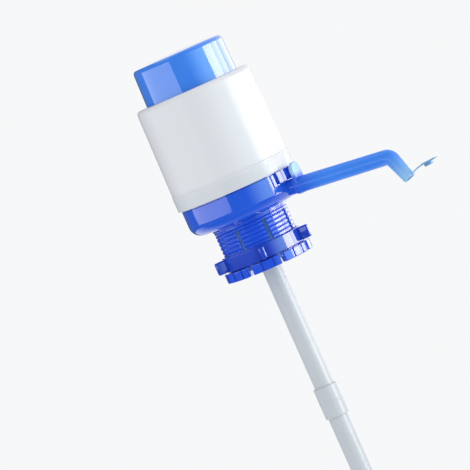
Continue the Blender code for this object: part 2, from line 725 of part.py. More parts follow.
# The pan
def make_pan():
    """The bowl under the casing: floor, ledge for the seat, posts, spout boss and pocket."""
    inner_corner = PAN_CORNER - PAN_WALL
    snap = PAN_BOTTOM + SNAP_HEIGHT
    ledge = PAN_BOTTOM + SEAT_LEDGE_HEIGHT
    ledge_radius = PAN_INNER_RADIUS - SEAT_LEDGE_WIDTH
    corner_centre = (PAN_RADIUS - PAN_CORNER, PAN_BOTTOM + PAN_CORNER)
    profile = [
        (PAN_RADIUS, PAN_TOP),
        (PAN_RADIUS, snap + SNAP_WIDTH),
        (PAN_RADIUS - SNAP_DEPTH, snap + SNAP_WIDTH / 2),
        (PAN_RADIUS, snap),
        *arc(corner_centre, PAN_CORNER, 0, -90, 5),
        (SPIGOT_HOLE_RADIUS, PAN_BOTTOM),
        (SPIGOT_HOLE_RADIUS, PAN_FLOOR_TOP),
        *arc(corner_centre, inner_corner, -90, 0, 3),
        (PAN_INNER_RADIUS, ledge - SEAT_LEDGE_THICKNESS - SEAT_LEDGE_WIDTH),
        (ledge_radius, ledge - SEAT_LEDGE_THICKNESS),
        (ledge_radius, ledge),
        (PAN_INNER_RADIUS, ledge),
        (PAN_INNER_RADIUS, PAN_TOP),
    ]
    pan = turned("base_pan", profile)
    post_bottom = PAN_FLOOR_TOP - SINK
    post_places = ring_of_places(SCREW_COUNT, SEAT_SCREW_CIRCLE, SCREW_TURN, post_bottom)
    posts = rods("seat_posts", BOSS_RADIUS, ledge - post_bottom, post_places, SCREW_STEPS)
    hole_bottom = SEAT_TOP + FIT - SCREW_LENGTH - FIT
    hole_places = ring_of_places(SCREW_COUNT, SEAT_SCREW_CIRCLE, SCREW_TURN, hole_bottom)
    post_holes = rods(
        "post_holes",
        SCREW_HOLE_RADIUS,
        ledge + OVERRUN - hole_bottom,
        hole_places,
        SCREW_STEPS,
    )
    under = PAN_BOTTOM - OVERRUN
    through = PAN_FLOOR + 2 * OVERRUN
    neck_places = ring_of_places(SCREW_COUNT, NECK_SCREW_CIRCLE, SCREW_TURN, under)
    neck_holes = rods("pan_screw_holes", SCREW_HOLE_RADIUS, through, neck_places, SCREW_STEPS)
    air_places = ring_of_places(SCREW_COUNT, NECK_SCREW_CIRCLE, 0, under)
    air_holes = rods("pan_air_holes", AIR_HOLE_RADIUS, through, air_places, SCREW_STEPS)
    boss = rods("spout_boss", SPOUT_BOSS_RADIUS, SPOUT_BOSS_LENGTH, [pointing(BOSS_START, ALONG)])
    bore_start = BOSS_START - ALONG * OVERRUN
    bore_length = SPOUT_BOSS_LENGTH + 2 * OVERRUN
    bore = rods("boss_bore", SHANK_RADIUS + FIT, bore_length, [pointing(bore_start, ALONG)])
    pocket_floor = PAN_BOTTOM + POCKET_FLOOR_HEIGHT
    pocket_top = CASING_BOTTOM + POCKET_HIDDEN_HEIGHT
    frame_angle = POCKET_HALF_ANGLE + FRAME_WIDTH / PAN_RADIUS
    frame = arc_block(
        "pocket_frame",
        PAN_RADIUS - PAN_WALL / 2,
        PAN_RADIUS + FRAME_PROUD,
        pocket_floor - FRAME_WIDTH / 2,
        CASING_BOTTOM - FIT,
        frame_angle,
    )
    backing = arc_block(
        "pocket_backing",
        POCKET_BLOCK_RADIUS,
        PAN_RADIUS - PAN_WALL / 3,
        pocket_floor - POCKET_BACK_WALL,
        pocket_top + POCKET_BACK_WALL,
        POCKET_HALF_ANGLE + POCKET_BACK_WALL / PAN_RADIUS,
    )
    pocket = arc_block(
        "pocket",
        POCKET_BACK_RADIUS,
        PAN_RADIUS + FRAME_PROUD + OVERRUN,
        pocket_floor,
        pocket_top,
        POCKET_HALF_ANGLE,
    )
    join(pan, posts, backing, frame, boss)
    cut(pan, pocket, bore, post_holes, neck_holes, air_holes)
    return finish(pan, "pan_blue", root)


def make_seat():
    """The plate on the pan's ledge that closes the air chamber and carries the bellows."""
    outer = PAN_INNER_RADIUS - FIT
    profile = [(0, SEAT_TOP), (outer, SEAT_TOP), (outer, SEAT_BOTTOM), (0, SEAT_BOTTOM)]
    seat = turned("bellows_seat", profile, closed=False)
    notch = arc_block(
        "seat_notch",
        POCKET_BLOCK_RADIUS - FIT,
        outer + OVERRUN,
        SEAT_BOTTOM - OVERRUN,
        SEAT_TOP + OVERRUN,
        POCKET_HALF_ANGLE + (POCKET_BACK_WALL + 2 * FIT) / PAN_RADIUS,
    )
    under = SEAT_BOTTOM - OVERRUN
    through = SEAT_THICKNESS + 2 * OVERRUN
    places = ring_of_places(SCREW_COUNT, SEAT_SCREW_CIRCLE, SCREW_TURN, under)
    holes = rods("seat_screw_holes", SCREW_HOLE_RADIUS, through, places, SCREW_STEPS)
    valve = Vector((-DELIVERY_VALVE_OFFSET, 0, under))
    stem_hole = rods("seat_stem_hole", STEM_HOLE_RADIUS, through, [Matrix.Translation(valve)])
    cut(seat, notch, holes, stem_hole, valve_ports("seat", valve, through))
    return finish(seat, "tube_white", root)


def valve_ports(name, centre, through):
    """The ring of ports that a valve's flap covers."""
    ports = ring_of_places(VALVE_PORT_COUNT, VALVE_PORT_CIRCLE, VALVE_PORT_TURN, 0)
    places = [Matrix.Translation(centre) @ port for port in ports]
    return rods(name + "_ports", VALVE_PORT_RADIUS, through, places, SCREW_STEPS)


def make_valve(name, place, plate_thickness, carrier):
    """A rubber flap under a plate, held by its stem and the bulb above. Origin on the underside."""
    neck_top = plate_thickness + FIT
    profile = [
        (0, neck_top + VALVE_BULB_HEIGHT),
        (VALVE_STEM_RADIUS, neck_top + VALVE_BULB_HEIGHT),
        (VALVE_BULB_RADIUS, neck_top),
        (VALVE_STEM_RADIUS, neck_top),
        (VALVE_STEM_RADIUS, -FIT),
        (FLAP_RADIUS, -FIT),
        (FLAP_RADIUS, -FIT - FLAP_THICKNESS / 2),
        (0, -FIT - FLAP_THICKNESS),
    ]
    valve = turned(name, profile, closed=False, steps=SMALL_STEPS)
    valve.location = place
    return finish(valve, "silicone", carrier)


# The bellows
def bellows_side(offset):
    """One side of the folded wall, bottom to top: (radius, height) at each peak and valley."""
    bottom = BELLOWS_BOTTOM + LOWER_COLLAR_HEIGHT
    top = BELLOWS_TOP - UPPER_COLLAR_HEIGHT
    folds = max(2, round((top - bottom) / BELLOWS_FOLD_PITCH))
    pitch = (top - bottom) / folds
    peak = BELLOWS_RADIUS - offset
    valley = BELLOWS_RADIUS - BELLOWS_FOLD_DEPTH - offset
    side = []
    for k in range(folds):
        side.append((peak, bottom + (k + 1 / 2) * pitch))
        if k < folds - 1:
            side.append((valley, bottom + (k + 1) * pitch))
    return side


def make_bellows():
    """The folded air spring: flanged collar below, folds, lipped collar above."""
    outer = COLLAR_OUTER_RADIUS
    lower = BELLOWS_BOTTOM + LOWER_COLLAR_HEIGHT
    upper = BELLOWS_TOP - UPPER_COLLAR_HEIGHT
    profile = [
        (outer, BELLOWS_TOP),
        (outer, upper),
        *reversed(bellows_side(0)),
        (outer, lower),
        (outer, BELLOWS_BOTTOM + COLLAR_WALL),
        (FLANGE_RADIUS, BELLOWS_BOTTOM + COLLAR_WALL),
        (FLANGE_RADIUS, BELLOWS_BOTTOM),
        (COLLAR_RADIUS, BELLOWS_BOTTOM),
        (COLLAR_RADIUS, lower),
        *bellows_side(BELLOWS_WALL * math.sqrt(2)),
        (COLLAR_RADIUS, upper),
        (COLLAR_RADIUS, BELLOWS_TOP - COLLAR_WALL),
        (COLLAR_RADIUS - COLLAR_LIP, BELLOWS_TOP - COLLAR_WALL),
        (COLLAR_RADIUS - COLLAR_LIP, BELLOWS_TOP),
    ]
    return finish(turned("bellows", profile, steps=SMALL_STEPS), "bellows_grey", root)


def make_clamp_ring():
    """The snap ring that holds the bellows' flange down on the seat."""
    bottom = BELLOWS_BOTTOM
    shelf = bottom + COLLAR_WALL + FIT
    inner = COLLAR_OUTER_RADIUS + FIT
    skirt = FLANGE_RADIUS + FIT
    top = shelf + CLAMP_RING_THICKNESS
    profile = [
        (CLAMP_RING_RADIUS, top),
        (CLAMP_RING_RADIUS, bottom),
        (skirt, bottom),
        (skirt, shelf),
        (inner, shelf),
        (inner, top),
    ]
    return finish(turned("bellows_clamp_ring", profile, steps=SMALL_STEPS), "tube_white", root)


def make_top_plate():
    """The plate inside the bellows' upper collar that the cap presses on."""
    outer = COLLAR_RADIUS - FIT
    profile = [
        (STEM_HOLE_RADIUS, TOP_PLATE_TOP),
        (outer, TOP_PLATE_TOP),
        (outer, TOP_PLATE_BOTTOM),
        (STEM_HOLE_RADIUS, TOP_PLATE_BOTTOM),
    ]
    top_plate = turned("bellows_top_plate", profile, steps=SMALL_STEPS)
    under = Vector((0, 0, TOP_PLATE_BOTTOM - OVERRUN))
    cut(top_plate, valve_ports("top_plate", under, TOP_PLATE_THICKNESS + 2 * OVERRUN))
    return finish(top_plate, "tube_white", head)


# The head
def make_casing():
    """The white sleeve: lip round the cap, slight taper, thicker skirt, panel over the spout."""
    skirt_top = CASING_BOTTOM + SKIRT_HEIGHT
    body_radius = CASING_TOP_RADIUS + CASING_TAPER
    inner_top = CASING_TOP - CASING_LIP
    snap = PAN_BOTTOM + SNAP_HEIGHT
    corner = (CASING_TOP_RADIUS - CASING_CORNER, CASING_TOP - CASING_CORNER)
    edge = (SKIRT_RADIUS - SKIRT_ROUNDING, CASING_BOTTOM + SKIRT_ROUNDING)
    profile = [
        (CAP_RADIUS + FIT, CASING_TOP),
        *arc(corner, CASING_CORNER, 90, 0),
        (body_radius, skirt_top + SKIRT_STEP),
        (body_radius + SKIRT_STEP, skirt_top),
        *arc(edge, SKIRT_ROUNDING, 0, -90, 2),
        (SKIRT_INNER_RADIUS, CASING_BOTTOM),
        (SKIRT_INNER_RADIUS, snap),
        (SKIRT_INNER_RADIUS - SNAP_DEPTH, snap + SNAP_WIDTH / 2),
        (SKIRT_INNER_RADIUS, snap + SNAP_WIDTH),
        (SKIRT_INNER_RADIUS, PAN_TOP + FIT),
        (body_radius - CASING_WALL, PAN_TOP + FIT),
        (CASING_TOP_RADIUS - CASING_WALL, inner_top),
        (CAP_RADIUS + FIT, inner_top),
    ]
    casing = turned("outer_casing", profile)
    panel = arc_block(
        "casing_panel",
        SKIRT_RADIUS - PANEL_DEPTH,
        SKIRT_RADIUS + OVERRUN,
        CASING_BOTTOM - OVERRUN,
        CASING_BOTTOM + PANEL_HEIGHT,
        PANEL_HALF_ANGLE,
    )
    cut(casing, panel)
    return finish(casing, "casing_white", root)


def make_cap():
    """The press cap: tapered crown, flange that stops under the casing's lip, guide skirt."""
    corner = (CAP_TOP_RADIUS - CAP_CORNER, CAP_SHOULDER - CAP_CORNER)
    inner = CAP_RADIUS - CAP_WALL
    inner_top = CAP_TOP_RADIUS - CAP_WALL
    flange_bottom = CAP_STOP - GUIDE_FLANGE
    rib_foot = TOP_PLATE_TOP + FIT
    rib_inner = PRESS_RIB_RADIUS - PRESS_RIB_WALL
    crown_radius = (corner[0] ** 2 + CAP_CROWN**2) / (2 * CAP_CROWN)
    crown_angle = math.asin(corner[0] / crown_radius)
    crown = []
    for k in range(4):
        angle = crown_angle * k / 4
        height = CROWN_TOP - crown_radius * (1 - math.cos(angle))
        crown.append((crown_radius * math.sin(angle), height))
    profile = [
        *crown,
        *arc(corner, CAP_CORNER, 90, 0),
        (CAP_RADIUS, CASING_TOP),
        (CAP_RADIUS, CAP_STOP),
        (GUIDE_RADIUS, CAP_STOP),
        (GUIDE_RADIUS, CAP_BOTTOM),
        (GUIDE_RADIUS - GUIDE_WALL, CAP_BOTTOM),
        (GUIDE_RADIUS - GUIDE_WALL, flange_bottom),
        (inner, flange_bottom),
        (inner_top, CROWN_BOTTOM - CAP_CORNER),
        (inner_top - CAP_CORNER, CROWN_BOTTOM),
        (PRESS_RIB_RADIUS, CROWN_BOTTOM),
        (PRESS_RIB_RADIUS, rib_foot),
        (rib_inner, rib_foot),
        (rib_inner, CROWN_BOTTOM),
        (0, CROWN_BOTTOM),
    ]
    cap = turned("press_cap", profile, closed=False)
    slot_height = (CROWN_BOTTOM - rib_foot) / 2
    slot_size = (2 * (PRESS_RIB_RADIUS + OVERRUN), PRESS_RIB_SLOT, slot_height)
    places = ring_of_places(2, 0, 0, rib_foot)
    turns = [Matrix.Rotation(math.pi / 2 * k, 4, "Z") for k in range(2)]
    cut(cap, blocks("rib_slots", slot_size, [turn @ places[0] for turn in turns]))
    return finish(cap, "cap_blue", head)


# The water way
def make_elbow():
    """The elbow from the dip tube up through the pan and out to the spout's socket."""
    flange_bottom = PAN_FLOOR_TOP + FIT
    start = Vector((0, 0, flange_bottom))
    line = filleted([start, ELBOW_CORNER, ELBOW_END], ELBOW_BEND_RADIUS)
    elbow = swept("water_elbow", line, [ELBOW_RADIUS] * len(line))
    spigot_bottom = ADAPTER_TOP - SPIGOT_DEPTH
    foot = Matrix.Translation((0, 0, spigot_bottom))
    spigot_length = flange_bottom + SINK - spigot_bottom
    spigot = rods("elbow_spigot", SPIGOT_RADIUS, spigot_length, [foot])
    flange = rods("elbow_flange", ELBOW_FLANGE_RADIUS, ELBOW_FLANGE_THICKNESS, [Matrix.Translation(start)])
    bore_start = Vector((0, 0, spigot_bottom - OVERRUN))
    bore_line = filleted([bore_start, ELBOW_CORNER, ELBOW_END + ALONG * OVERRUN], ELBOW_BEND_RADIUS)
    bore = swept("elbow_bore", bore_line, [WATER_BORE_RADIUS] * len(bore_line))
    socket_start = ELBOW_END - ALONG * SOCKET_DEPTH
    socket = rods(
        "elbow_socket",
        SHANK_RADIUS + FIT,
        SOCKET_DEPTH + OVERRUN,
        [pointing(socket_start, ALONG)],
    )
    join(elbow, flange, spigot)
    cut(elbow, bore, socket)
    return finish(elbow, "pan_blue", root)


def seal_profile():
    """The round section of the spout's sealing ring, outer side downwards."""
    centre = SHANK_RADIUS - SEAL_GROOVE_DEPTH + FIT / 4 + SEAL_SECTION
    return arc((centre, 0), SEAL_SECTION, 90, -225, 7)


def make_spout_seal():
    """The rubber ring in the groove of the spout's shank."""
    seal = turned("spout_seal", seal_profile(), steps=SMALL_STEPS)
    seal.matrix_world = pointing(SEAL_CENTRE, ALONG)
    return finish(seal, "silicone", root)


def tapered_radii(line, root_radius, bend_radius, tip_radius):
    """The radius at each point of the spout's line: root to bend to tip, by distance."""
    bend = (SPOUT_BEND - line[0]).length
    leg = (MOUTH - SPOUT_BEND).length
    radii = []
    for place in line:
        past = (place - SPOUT_BEND).dot(LEG)
        before = (SPOUT_BEND - place).dot(ALONG)
        if past > 0:
            radii.append(bend_radius + (tip_radius - bend_radius) * min(1, past / leg))
        else:
            radii.append(bend_radius + (root_radius - bend_radius) * max(0, before / bend))
    return radii


def make_spout():
    """The spout: plug-in shank, collar with its thumb tab, tapered tube, bent leg, strap stub."""
    bend_radius = SPOUT_BEND_RADIUS + SPOUT_BEND_SLACK
    line = filleted([COLLAR_START, SPOUT_BEND, MOUTH], bend_radius)
    radii = tapered_radii(line, SPOUT_ROOT_RADIUS, SPOUT_BEND_RADIUS, SPOUT_TIP_RADIUS)
    spout = swept("spout", line, radii)
    shank = rods(
        "spout_shank",
        SHANK_RADIUS,
        SHANK_LENGTH + SINK,
        [pointing(SHANK_START, ALONG)],
    )
    collar = rods(
        "spout_collar",
        SPOUT_COLLAR_RADIUS,
        SPOUT_COLLAR_LENGTH,
        [pointing(COLLAR_START, ALONG)],
        end_radius=SPOUT_ROOT_RADIUS,
    )
    half_width = THUMB_TAB_WIDTH / 2
    round_centre = (0, THUMB_TAB_HEIGHT - half_width)
    outline = [(half_width, 0), *arc(round_centre, half_width, 0, 180, 10), (-half_width, 0)]
    tab = plate("thumb_tab", outline, THUMB_TAB_THICKNESS)
    tab_foot = COLLAR_START + ALONG * THUMB_TAB_INSET
    upright = Matrix.Rotation(math.pi / 2, 4, "Z") @ Matrix.Rotation(math.pi / 2, 4, "X")
    tab.matrix_world = Matrix.Translation(tab_foot) @ upright
    strap_inner = SPOUT_TIP_RADIUS - SPOUT_TIP_WALL
    strap_length = HINGE_REACH - strap_inner - STRAP_END_GAP
    strap_centre = (
        MOUTH
        + ACROSS * (strap_inner + strap_length / 2)
        - LEG * (HINGE_RISE + STRAP_OFFSET + STRAP_THICKNESS / 2)
    )
    strap = blocks(
        "spout_strap",
        (strap_length, STRAP_WIDTH, STRAP_THICKNESS),
        [pointing(strap_centre, -LEG)],
    )
    bore_line = filleted(
        [COLLAR_START + ALONG * OVERRUN, SPOUT_BEND, MOUTH + LEG * OVERRUN],
        bend_radius,
    )
    bore_radii = tapered_radii(
        bore_line,
        SPOUT_ROOT_RADIUS - SPOUT_WALL,
        SPOUT_BEND_RADIUS - SPOUT_WALL,
        SPOUT_TIP_RADIUS - SPOUT_TIP_WALL,
    )
    bore = swept("spout_bore", bore_line, bore_radii)
    shank_bore = rods(
        "shank_bore",
        WATER_BORE_RADIUS,
        SHANK_LENGTH + 3 * OVERRUN,
        [pointing(SHANK_START - ALONG * OVERRUN, ALONG)],
    )
    groove_half = SEAL_GROOVE_WIDTH / 2
    groove_profile = [
        (SHANK_RADIUS + OVERRUN, groove_half),
        (SHANK_RADIUS + OVERRUN, -groove_half),
        (SHANK_RADIUS - SEAL_GROOVE_DEPTH, -groove_half),
        (SHANK_RADIUS - SEAL_GROOVE_DEPTH, groove_half),
    ]
    groove = turned("seal_groove", groove_profile, steps=SMALL_STEPS)
    groove.matrix_world = pointing(SEAL_CENTRE, ALONG)
    join(spout, shank, collar, tab, strap)
    cut(spout, bore, shank_bore, groove)
    return finish(spout, "spout_blue", root)


def make_dust_cap():
    """The cap on its strap, drawn shut about the hinge line and then swung open.

    In its own frame +X runs from the hinge to the cap and +Z points away from the spout.
    """
    face = HINGE_RISE + FIT
    plug_radius = SPOUT_TIP_RADIUS - SPOUT_TIP_WALL - FIT
    plug_end = face - PLUG_HEIGHT
    profile = [
        (0, face + LID_THICKNESS),
        (LID_RADIUS, face + LID_THICKNESS),
        (LID_RADIUS, face),
        (plug_radius, face),
        (plug_radius, plug_end + PLUG_CHAMFER),
        (plug_radius - PLUG_CHAMFER, plug_end),
        (0, plug_end),
    ]
    lid = turned("dust_cap", profile, closed=False, steps=SMALL_STEPS)
    lid.location.x = HINGE_REACH
    tab_length = LID_TAB_LENGTH + LID_RADIUS / 2
    tab_centre = HINGE_REACH + LID_RADIUS / 2 + tab_length / 2
    tab_outline = [
        (-tab_length / 2, -LID_TAB_WIDTH / 2),
        *arc((tab_length / 2 - LID_TAB_WIDTH / 2, 0), LID_TAB_WIDTH / 2, -90, 90, 6),
        (-tab_length / 2, LID_TAB_WIDTH / 2),
    ]
    tab = plate("lid_tab", tab_outline, LID_THICKNESS - 2 * STRAP_OFFSET)
    tab.location = (tab_centre, 0, face + LID_THICKNESS / 2)
    strap_end = HINGE_REACH - LID_RADIUS / 2
    strap_outline = [
        (STRAP_END_GAP, STRAP_OFFSET),
        (strap_end, face + STRAP_OFFSET),
        (strap_end, face + STRAP_OFFSET + STRAP_THICKNESS),
        (STRAP_END_GAP, STRAP_OFFSET + STRAP_THICKNESS),
    ]
    strap = plate("lid_strap", strap_outline, STRAP_WIDTH)
    strap.matrix_world = Matrix.Rotation(math.pi / 2, 4, "X")
    shut = Matrix(((-1, 0, 0), (0, -1, 0), (0, 0, 1)))
    facing = Matrix((ACROSS, Vector((0, 1, 0)), LEG)).transposed() @ shut
    attitude = Matrix.Rotation(-HINGE_SWING, 3, "Y") @ facing
    place = Matrix.Translation(HINGE) @ attitude.to_4x4()
    for shape in (lid, tab, strap):
        shape.matrix_world = place @ shape.matrix_basis
    join(lid, tab, strap)
    return finish(lid, "spout_blue", hinge)


def make_adapter_seal():
    """The rubber washer between the collet's web and the tube adapter."""
    profile = [
        (SEAL_WASHER_RADIUS, WASHER_TOP),
        (SEAL_WASHER_RADIUS, WASHER_BOTTOM),
        (SPIGOT_HOLE_RADIUS, WASHER_BOTTOM),
        (SPIGOT_HOLE_RADIUS, WASHER_TOP),
    ]
    return finish(turned("adapter_seal", profile, steps=SMALL_STEPS), "silicone", root)


def make_adapter():
    """The flanged nipple on the elbow's spigot, with barbs that hold the dip tube."""
    flange_bottom = ADAPTER_TOP - ADAPTER_FLANGE_THICKNESS
    barb_pitch = BARB_LENGTH / BARB_COUNT
    barbs = []
    for k in range(BARB_COUNT):
        top = ADAPTER_SHOULDER - k * barb_pitch
        barbs += [(BARB_RADIUS, top - barb_pitch / 3), (BARB_RADIUS - BARB_DEPTH, top - barb_pitch)]
    socket_bottom = ADAPTER_TOP - SPIGOT_DEPTH - FIT
    profile = [
        (ADAPTER_FLANGE_RADIUS, ADAPTER_TOP),
        (ADAPTER_FLANGE_RADIUS, flange_bottom),
        (TUBE_RADIUS, flange_bottom),
        (TUBE_RADIUS, ADAPTER_SHOULDER),
        (BARB_RADIUS, ADAPTER_SHOULDER),
        *barbs,
        (BARB_BORE_RADIUS, ADAPTER_SHOULDER - BARB_LENGTH),
        (BARB_BORE_RADIUS, socket_bottom),
        (SPIGOT_HOLE_RADIUS, socket_bottom),
        (SPIGOT_HOLE_RADIUS, ADAPTER_TOP),
    ]
    return finish(turned("tube_adapter", profile, steps=SMALL_STEPS), "tube_white", root)


def make_tube(name, top, foot_cut=False):
    """One section of the dip tube, hanging from its top. The last has a slanted foot."""
    profile = [
        (TUBE_RADIUS, 0),
        (TUBE_RADIUS, -TUBE_SECTION_LENGTH),
        (TUBE_BORE_RADIUS, -TUBE_SECTION_LENGTH),
        (TUBE_BORE_RADIUS, 0),
    ]
    tube = turned(name, profile, steps=SMALL_STEPS)
    tube.location.z = top
    if foot_cut:
        side = 4 * TUBE_RADIUS
        place = (
            Matrix.Translation((TUBE_RADIUS, 0, top - TUBE_SECTION_LENGTH))
            @ Matrix.Rotation(-TUBE_FOOT_TILT, 4, "Y")
            @ Matrix.Translation((0, 0, -side / 2))
        )
        cut(tube, blocks("foot_cut", (2 * side, side, side), [place]))
    return finish(tube, "tube_white", root)


def make_coupler(name, tube_end):
    """The sleeve that joins two sections, with a stop in its middle. Origin in the middle."""
    half = COUPLER_LENGTH / 2
    outer = COUPLER_INNER_RADIUS + COUPLER_WALL
    stop_radius = COUPLER_INNER_RADIUS - COUPLER_STOP_DEPTH
    stop_half = COUPLER_STOP_THICKNESS / 2
    profile = [
        (outer - COUPLER_CHAMFER, half),
        (outer, half - COUPLER_CHAMFER),
        (outer, COUPLER_CHAMFER - half),
        (outer - COUPLER_CHAMFER, -half),
        (COUPLER_INNER_RADIUS, -half),
        (COUPLER_INNER_RADIUS, -stop_half),
        (stop_radius, -stop_half),
        (stop_radius, stop_half),
        (COUPLER_INNER_RADIUS, stop_half),
        (COUPLER_INNER_RADIUS, half),
    ]
    coupler = turned(name, profile, steps=SMALL_STEPS)
    coupler.location.z = tube_end - FIT - stop_half
    return finish(coupler, "tube_white", root)


def make_dip_tube():
    """Three sections in line with the pump's axis and the two couplers between them."""
    step = TUBE_SECTION_LENGTH + COUPLER_STOP_THICKNESS + 2 * FIT
    make_tube("dip_tube_upper", TUBE_TOP)
    make_coupler("tube_coupler_upper", TUBE_TOP - TUBE_SECTION_LENGTH)
    make_tube("dip_tube_middle", TUBE_TOP - step)
    make_coupler("tube_coupler_lower", TUBE_TOP - step - TUBE_SECTION_LENGTH)
    make_tube("dip_tube_lower", TUBE_TOP - 2 * step, foot_cut=True)


clear_scene()
parts = new_collection("water_jug_hand_pump")
tool_shelf = new_collection("cutters")
shading = shade_group()
root = carrier_at("pump_frame", (0, 0, 0))
head = carrier_at("press_head", (0, 0, CAP_STOP))
hinge = carrier_at("cap_hinge", HINGE)

make_gasket()
make_collet()
make_lock_ring()
make_pan()
make_seat()
screw_mesh = make_screw_mesh()
make_screws("neck_screw", NECK_SCREW_CIRCLE, PAN_FLOOR_TOP + FIT, screw_mesh)
make_screws("seat_screw", SEAT_SCREW_CIRCLE, SEAT_TOP + FIT, screw_mesh)
make_valve("delivery_valve", (-DELIVERY_VALVE_OFFSET, 0, SEAT_BOTTOM), SEAT_THICKNESS, root)
make_bellows()
make_clamp_ring()
make_top_plate()
make_valve("intake_valve", (0, 0, TOP_PLATE_BOTTOM), TOP_PLATE_THICKNESS, head)
make_casing()
make_cap()
make_elbow()
make_spout_seal()
make_spout()
make_dust_cap()
make_adapter_seal()
make_adapter()
make_dip_tube()
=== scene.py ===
import math

import bmesh
import bpy
from mathutils import Matrix, Vector


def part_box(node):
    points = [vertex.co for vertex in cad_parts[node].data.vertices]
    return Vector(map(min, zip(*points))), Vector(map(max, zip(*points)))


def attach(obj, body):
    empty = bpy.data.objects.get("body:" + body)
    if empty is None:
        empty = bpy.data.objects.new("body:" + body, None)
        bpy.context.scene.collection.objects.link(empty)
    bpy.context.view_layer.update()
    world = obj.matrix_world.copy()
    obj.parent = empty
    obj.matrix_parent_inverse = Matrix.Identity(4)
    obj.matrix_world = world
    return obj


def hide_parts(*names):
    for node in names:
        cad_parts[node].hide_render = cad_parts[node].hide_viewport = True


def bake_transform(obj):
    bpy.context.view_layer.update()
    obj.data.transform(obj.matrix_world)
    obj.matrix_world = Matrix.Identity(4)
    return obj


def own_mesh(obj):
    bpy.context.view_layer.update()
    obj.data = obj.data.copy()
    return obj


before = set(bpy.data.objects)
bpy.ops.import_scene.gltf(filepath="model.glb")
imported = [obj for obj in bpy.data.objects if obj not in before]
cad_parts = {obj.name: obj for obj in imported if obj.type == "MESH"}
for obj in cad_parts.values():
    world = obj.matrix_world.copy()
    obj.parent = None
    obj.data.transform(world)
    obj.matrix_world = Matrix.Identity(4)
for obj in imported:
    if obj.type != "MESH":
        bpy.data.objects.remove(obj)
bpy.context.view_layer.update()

UP = Vector((0, 0, 1))
SIDEWAYS = Vector((0, 1, 0))
ORIGIN = Vector((0, 0, 0))
TURN = 2 * math.pi
FINE = 144
MEDIUM = 64
MERGE_DISTANCE = 1e-6
CUT_DISTANCE = 1e-7
SHARP_ANGLE = math.radians(35)
CONVEX_ANGLE = math.radians(38)
CONVEX_EDGES = "bevel_weight_edge"
SUPPORT_INSET = 0.00022
NEARLY_STRAIGHT = math.radians(8)
RUN_SHARE = 0.45

# Places and sizes that the pieces share with the solids, in metres
PAN_RADIUS = 0.0478
PAN_BOTTOM = 0.0050
PAN_TOP = 0.0399
PAN_INNER_RADIUS = 0.0456
CASING_BOTTOM = 0.0293
CASING_TOP = 0.1162
CASING_TOP_RADIUS = 0.0488
CASING_SKIRT_RADIUS = 0.0503
CAP_CROWN = 0.1486
CAP_CROWN_FALL = 1.41
CAP_CEILING = 0.1446
CAP_RADIUS = 0.0392
CAP_STOP = 0.1135
CAP_SKIRT_BOTTOM = 0.1010
CASING_LIP_RADIUS = CAP_RADIUS + 0.0003
WATER_BORE = 0.0053
WEB_BOTTOM = 0.0027
WEB_TOP = 0.0047
WEB_RADIUS = 0.0320
COLLET_BORE = 0.0286
THREAD_CREST = 0.0313
THREAD_DEPTH = 0.0008
THREAD_PITCH = 0.0035
FINGERS = 8
FINGER_RADIUS = 0.0359
TIP_RADIUS = 0.0370
TIP_BOTTOM = -0.0390
TIP_TOP = -0.0311
SLOT_TOP = -0.0004
SLOT_WIDTH = 0.0030
SLOT_TURN = math.radians(5.5)
SLOT_EASE = 0.0006
SCREWS = 3
SCREW_REACH = 0.0144
SCREW_BOSS_RADIUS = 0.00305
RING_BORE = 0.0316
RING_RADIUS = 0.0336
RING_BOTTOM = -0.0308
RING_TOP = -0.0186
LUGS = 5
GASKET_BORE = 0.0182
SPOUT_ROOT = Vector((PAN_RADIUS, 0, 0.0128))
SPOUT_SLOPE = math.radians(4.03)
ALONG = Vector((math.cos(SPOUT_SLOPE), 0, -math.sin(SPOUT_SLOPE)))
SPOUT_BEND = SPOUT_ROOT + ALONG * 0.0940
BEND_RADIUS = 0.0067
LEG_TILT = math.radians(22)
LEG = Vector((math.sin(LEG_TILT), 0, -math.cos(LEG_TILT)))
ACROSS = Vector((math.cos(LEG_TILT), 0, math.sin(LEG_TILT)))
MOUTH = SPOUT_BEND + LEG * 0.0234
COLLAR_START = SPOUT_ROOT + ALONG * 0.0054
BOSS_LENGTH = 0.0130
BOSS_SETBACK = 0.0079
SHANK_LENGTH = 0.0285
SHANK_RADIUS = 0.0046
HINGE_REACH = 0.0109
HINGE_DROP = 0.0007
HINGE_GAP = 0.0002
HINGE_SWING = math.radians(162.5)
HINGE = MOUTH + ACROSS * HINGE_REACH - LEG * HINGE_DROP
STRAP_START = 0.0041
STRAP_WIDTH = 0.0040
STRAP_THICKNESS = 0.0009
STRAP_ROUNDING = 0.0002
TAB_HALF_WIDTH = 0.0065
TAB_HEIGHT = 0.0125
TAB_THICKNESS = 0.0033
TUBE_RADIUS = 0.0080
TUBE_BORE = 0.0068
TUBE_FOOT_TILT = math.radians(35)
SLEEVE_BORE = 0.0083
SLEEVE_RADIUS = 0.0097
BELLOWS_FOLDS = 9
BELLOWS_WALL = 0.0015
BELLOWS_COLLAR = 0.0284


# Finishes
def feed(tree, node, feeds):
    """Links sockets to a node's inputs, by name or number, or sets the inputs' own values."""
    for key, value in feeds.items():
        if isinstance(value, bpy.types.NodeSocket):
            tree.links.new(value, node.inputs[key])
        else:
            node.inputs[key].default_value = value


def wired(tree, kind, feeds, **settings):
    """A new shader node with its settings made and its inputs fed."""
    node = tree.nodes.new("ShaderNode" + kind)
    for name, value in settings.items():
        setattr(node, name, value)
    feed(tree, node, feeds)
    return node


def computed(tree, operation, *values):
    """The result of a Math node."""
    return wired(tree, "Math", dict(enumerate(values)), operation=operation).outputs[0]


def mixed(tree, factor, first, last):
    """A colour between two others."""
    feeds = {"Factor": factor, "A": first, "B": last}
    return wired(tree, "Mix", feeds, data_type="RGBA").outputs["Result"]


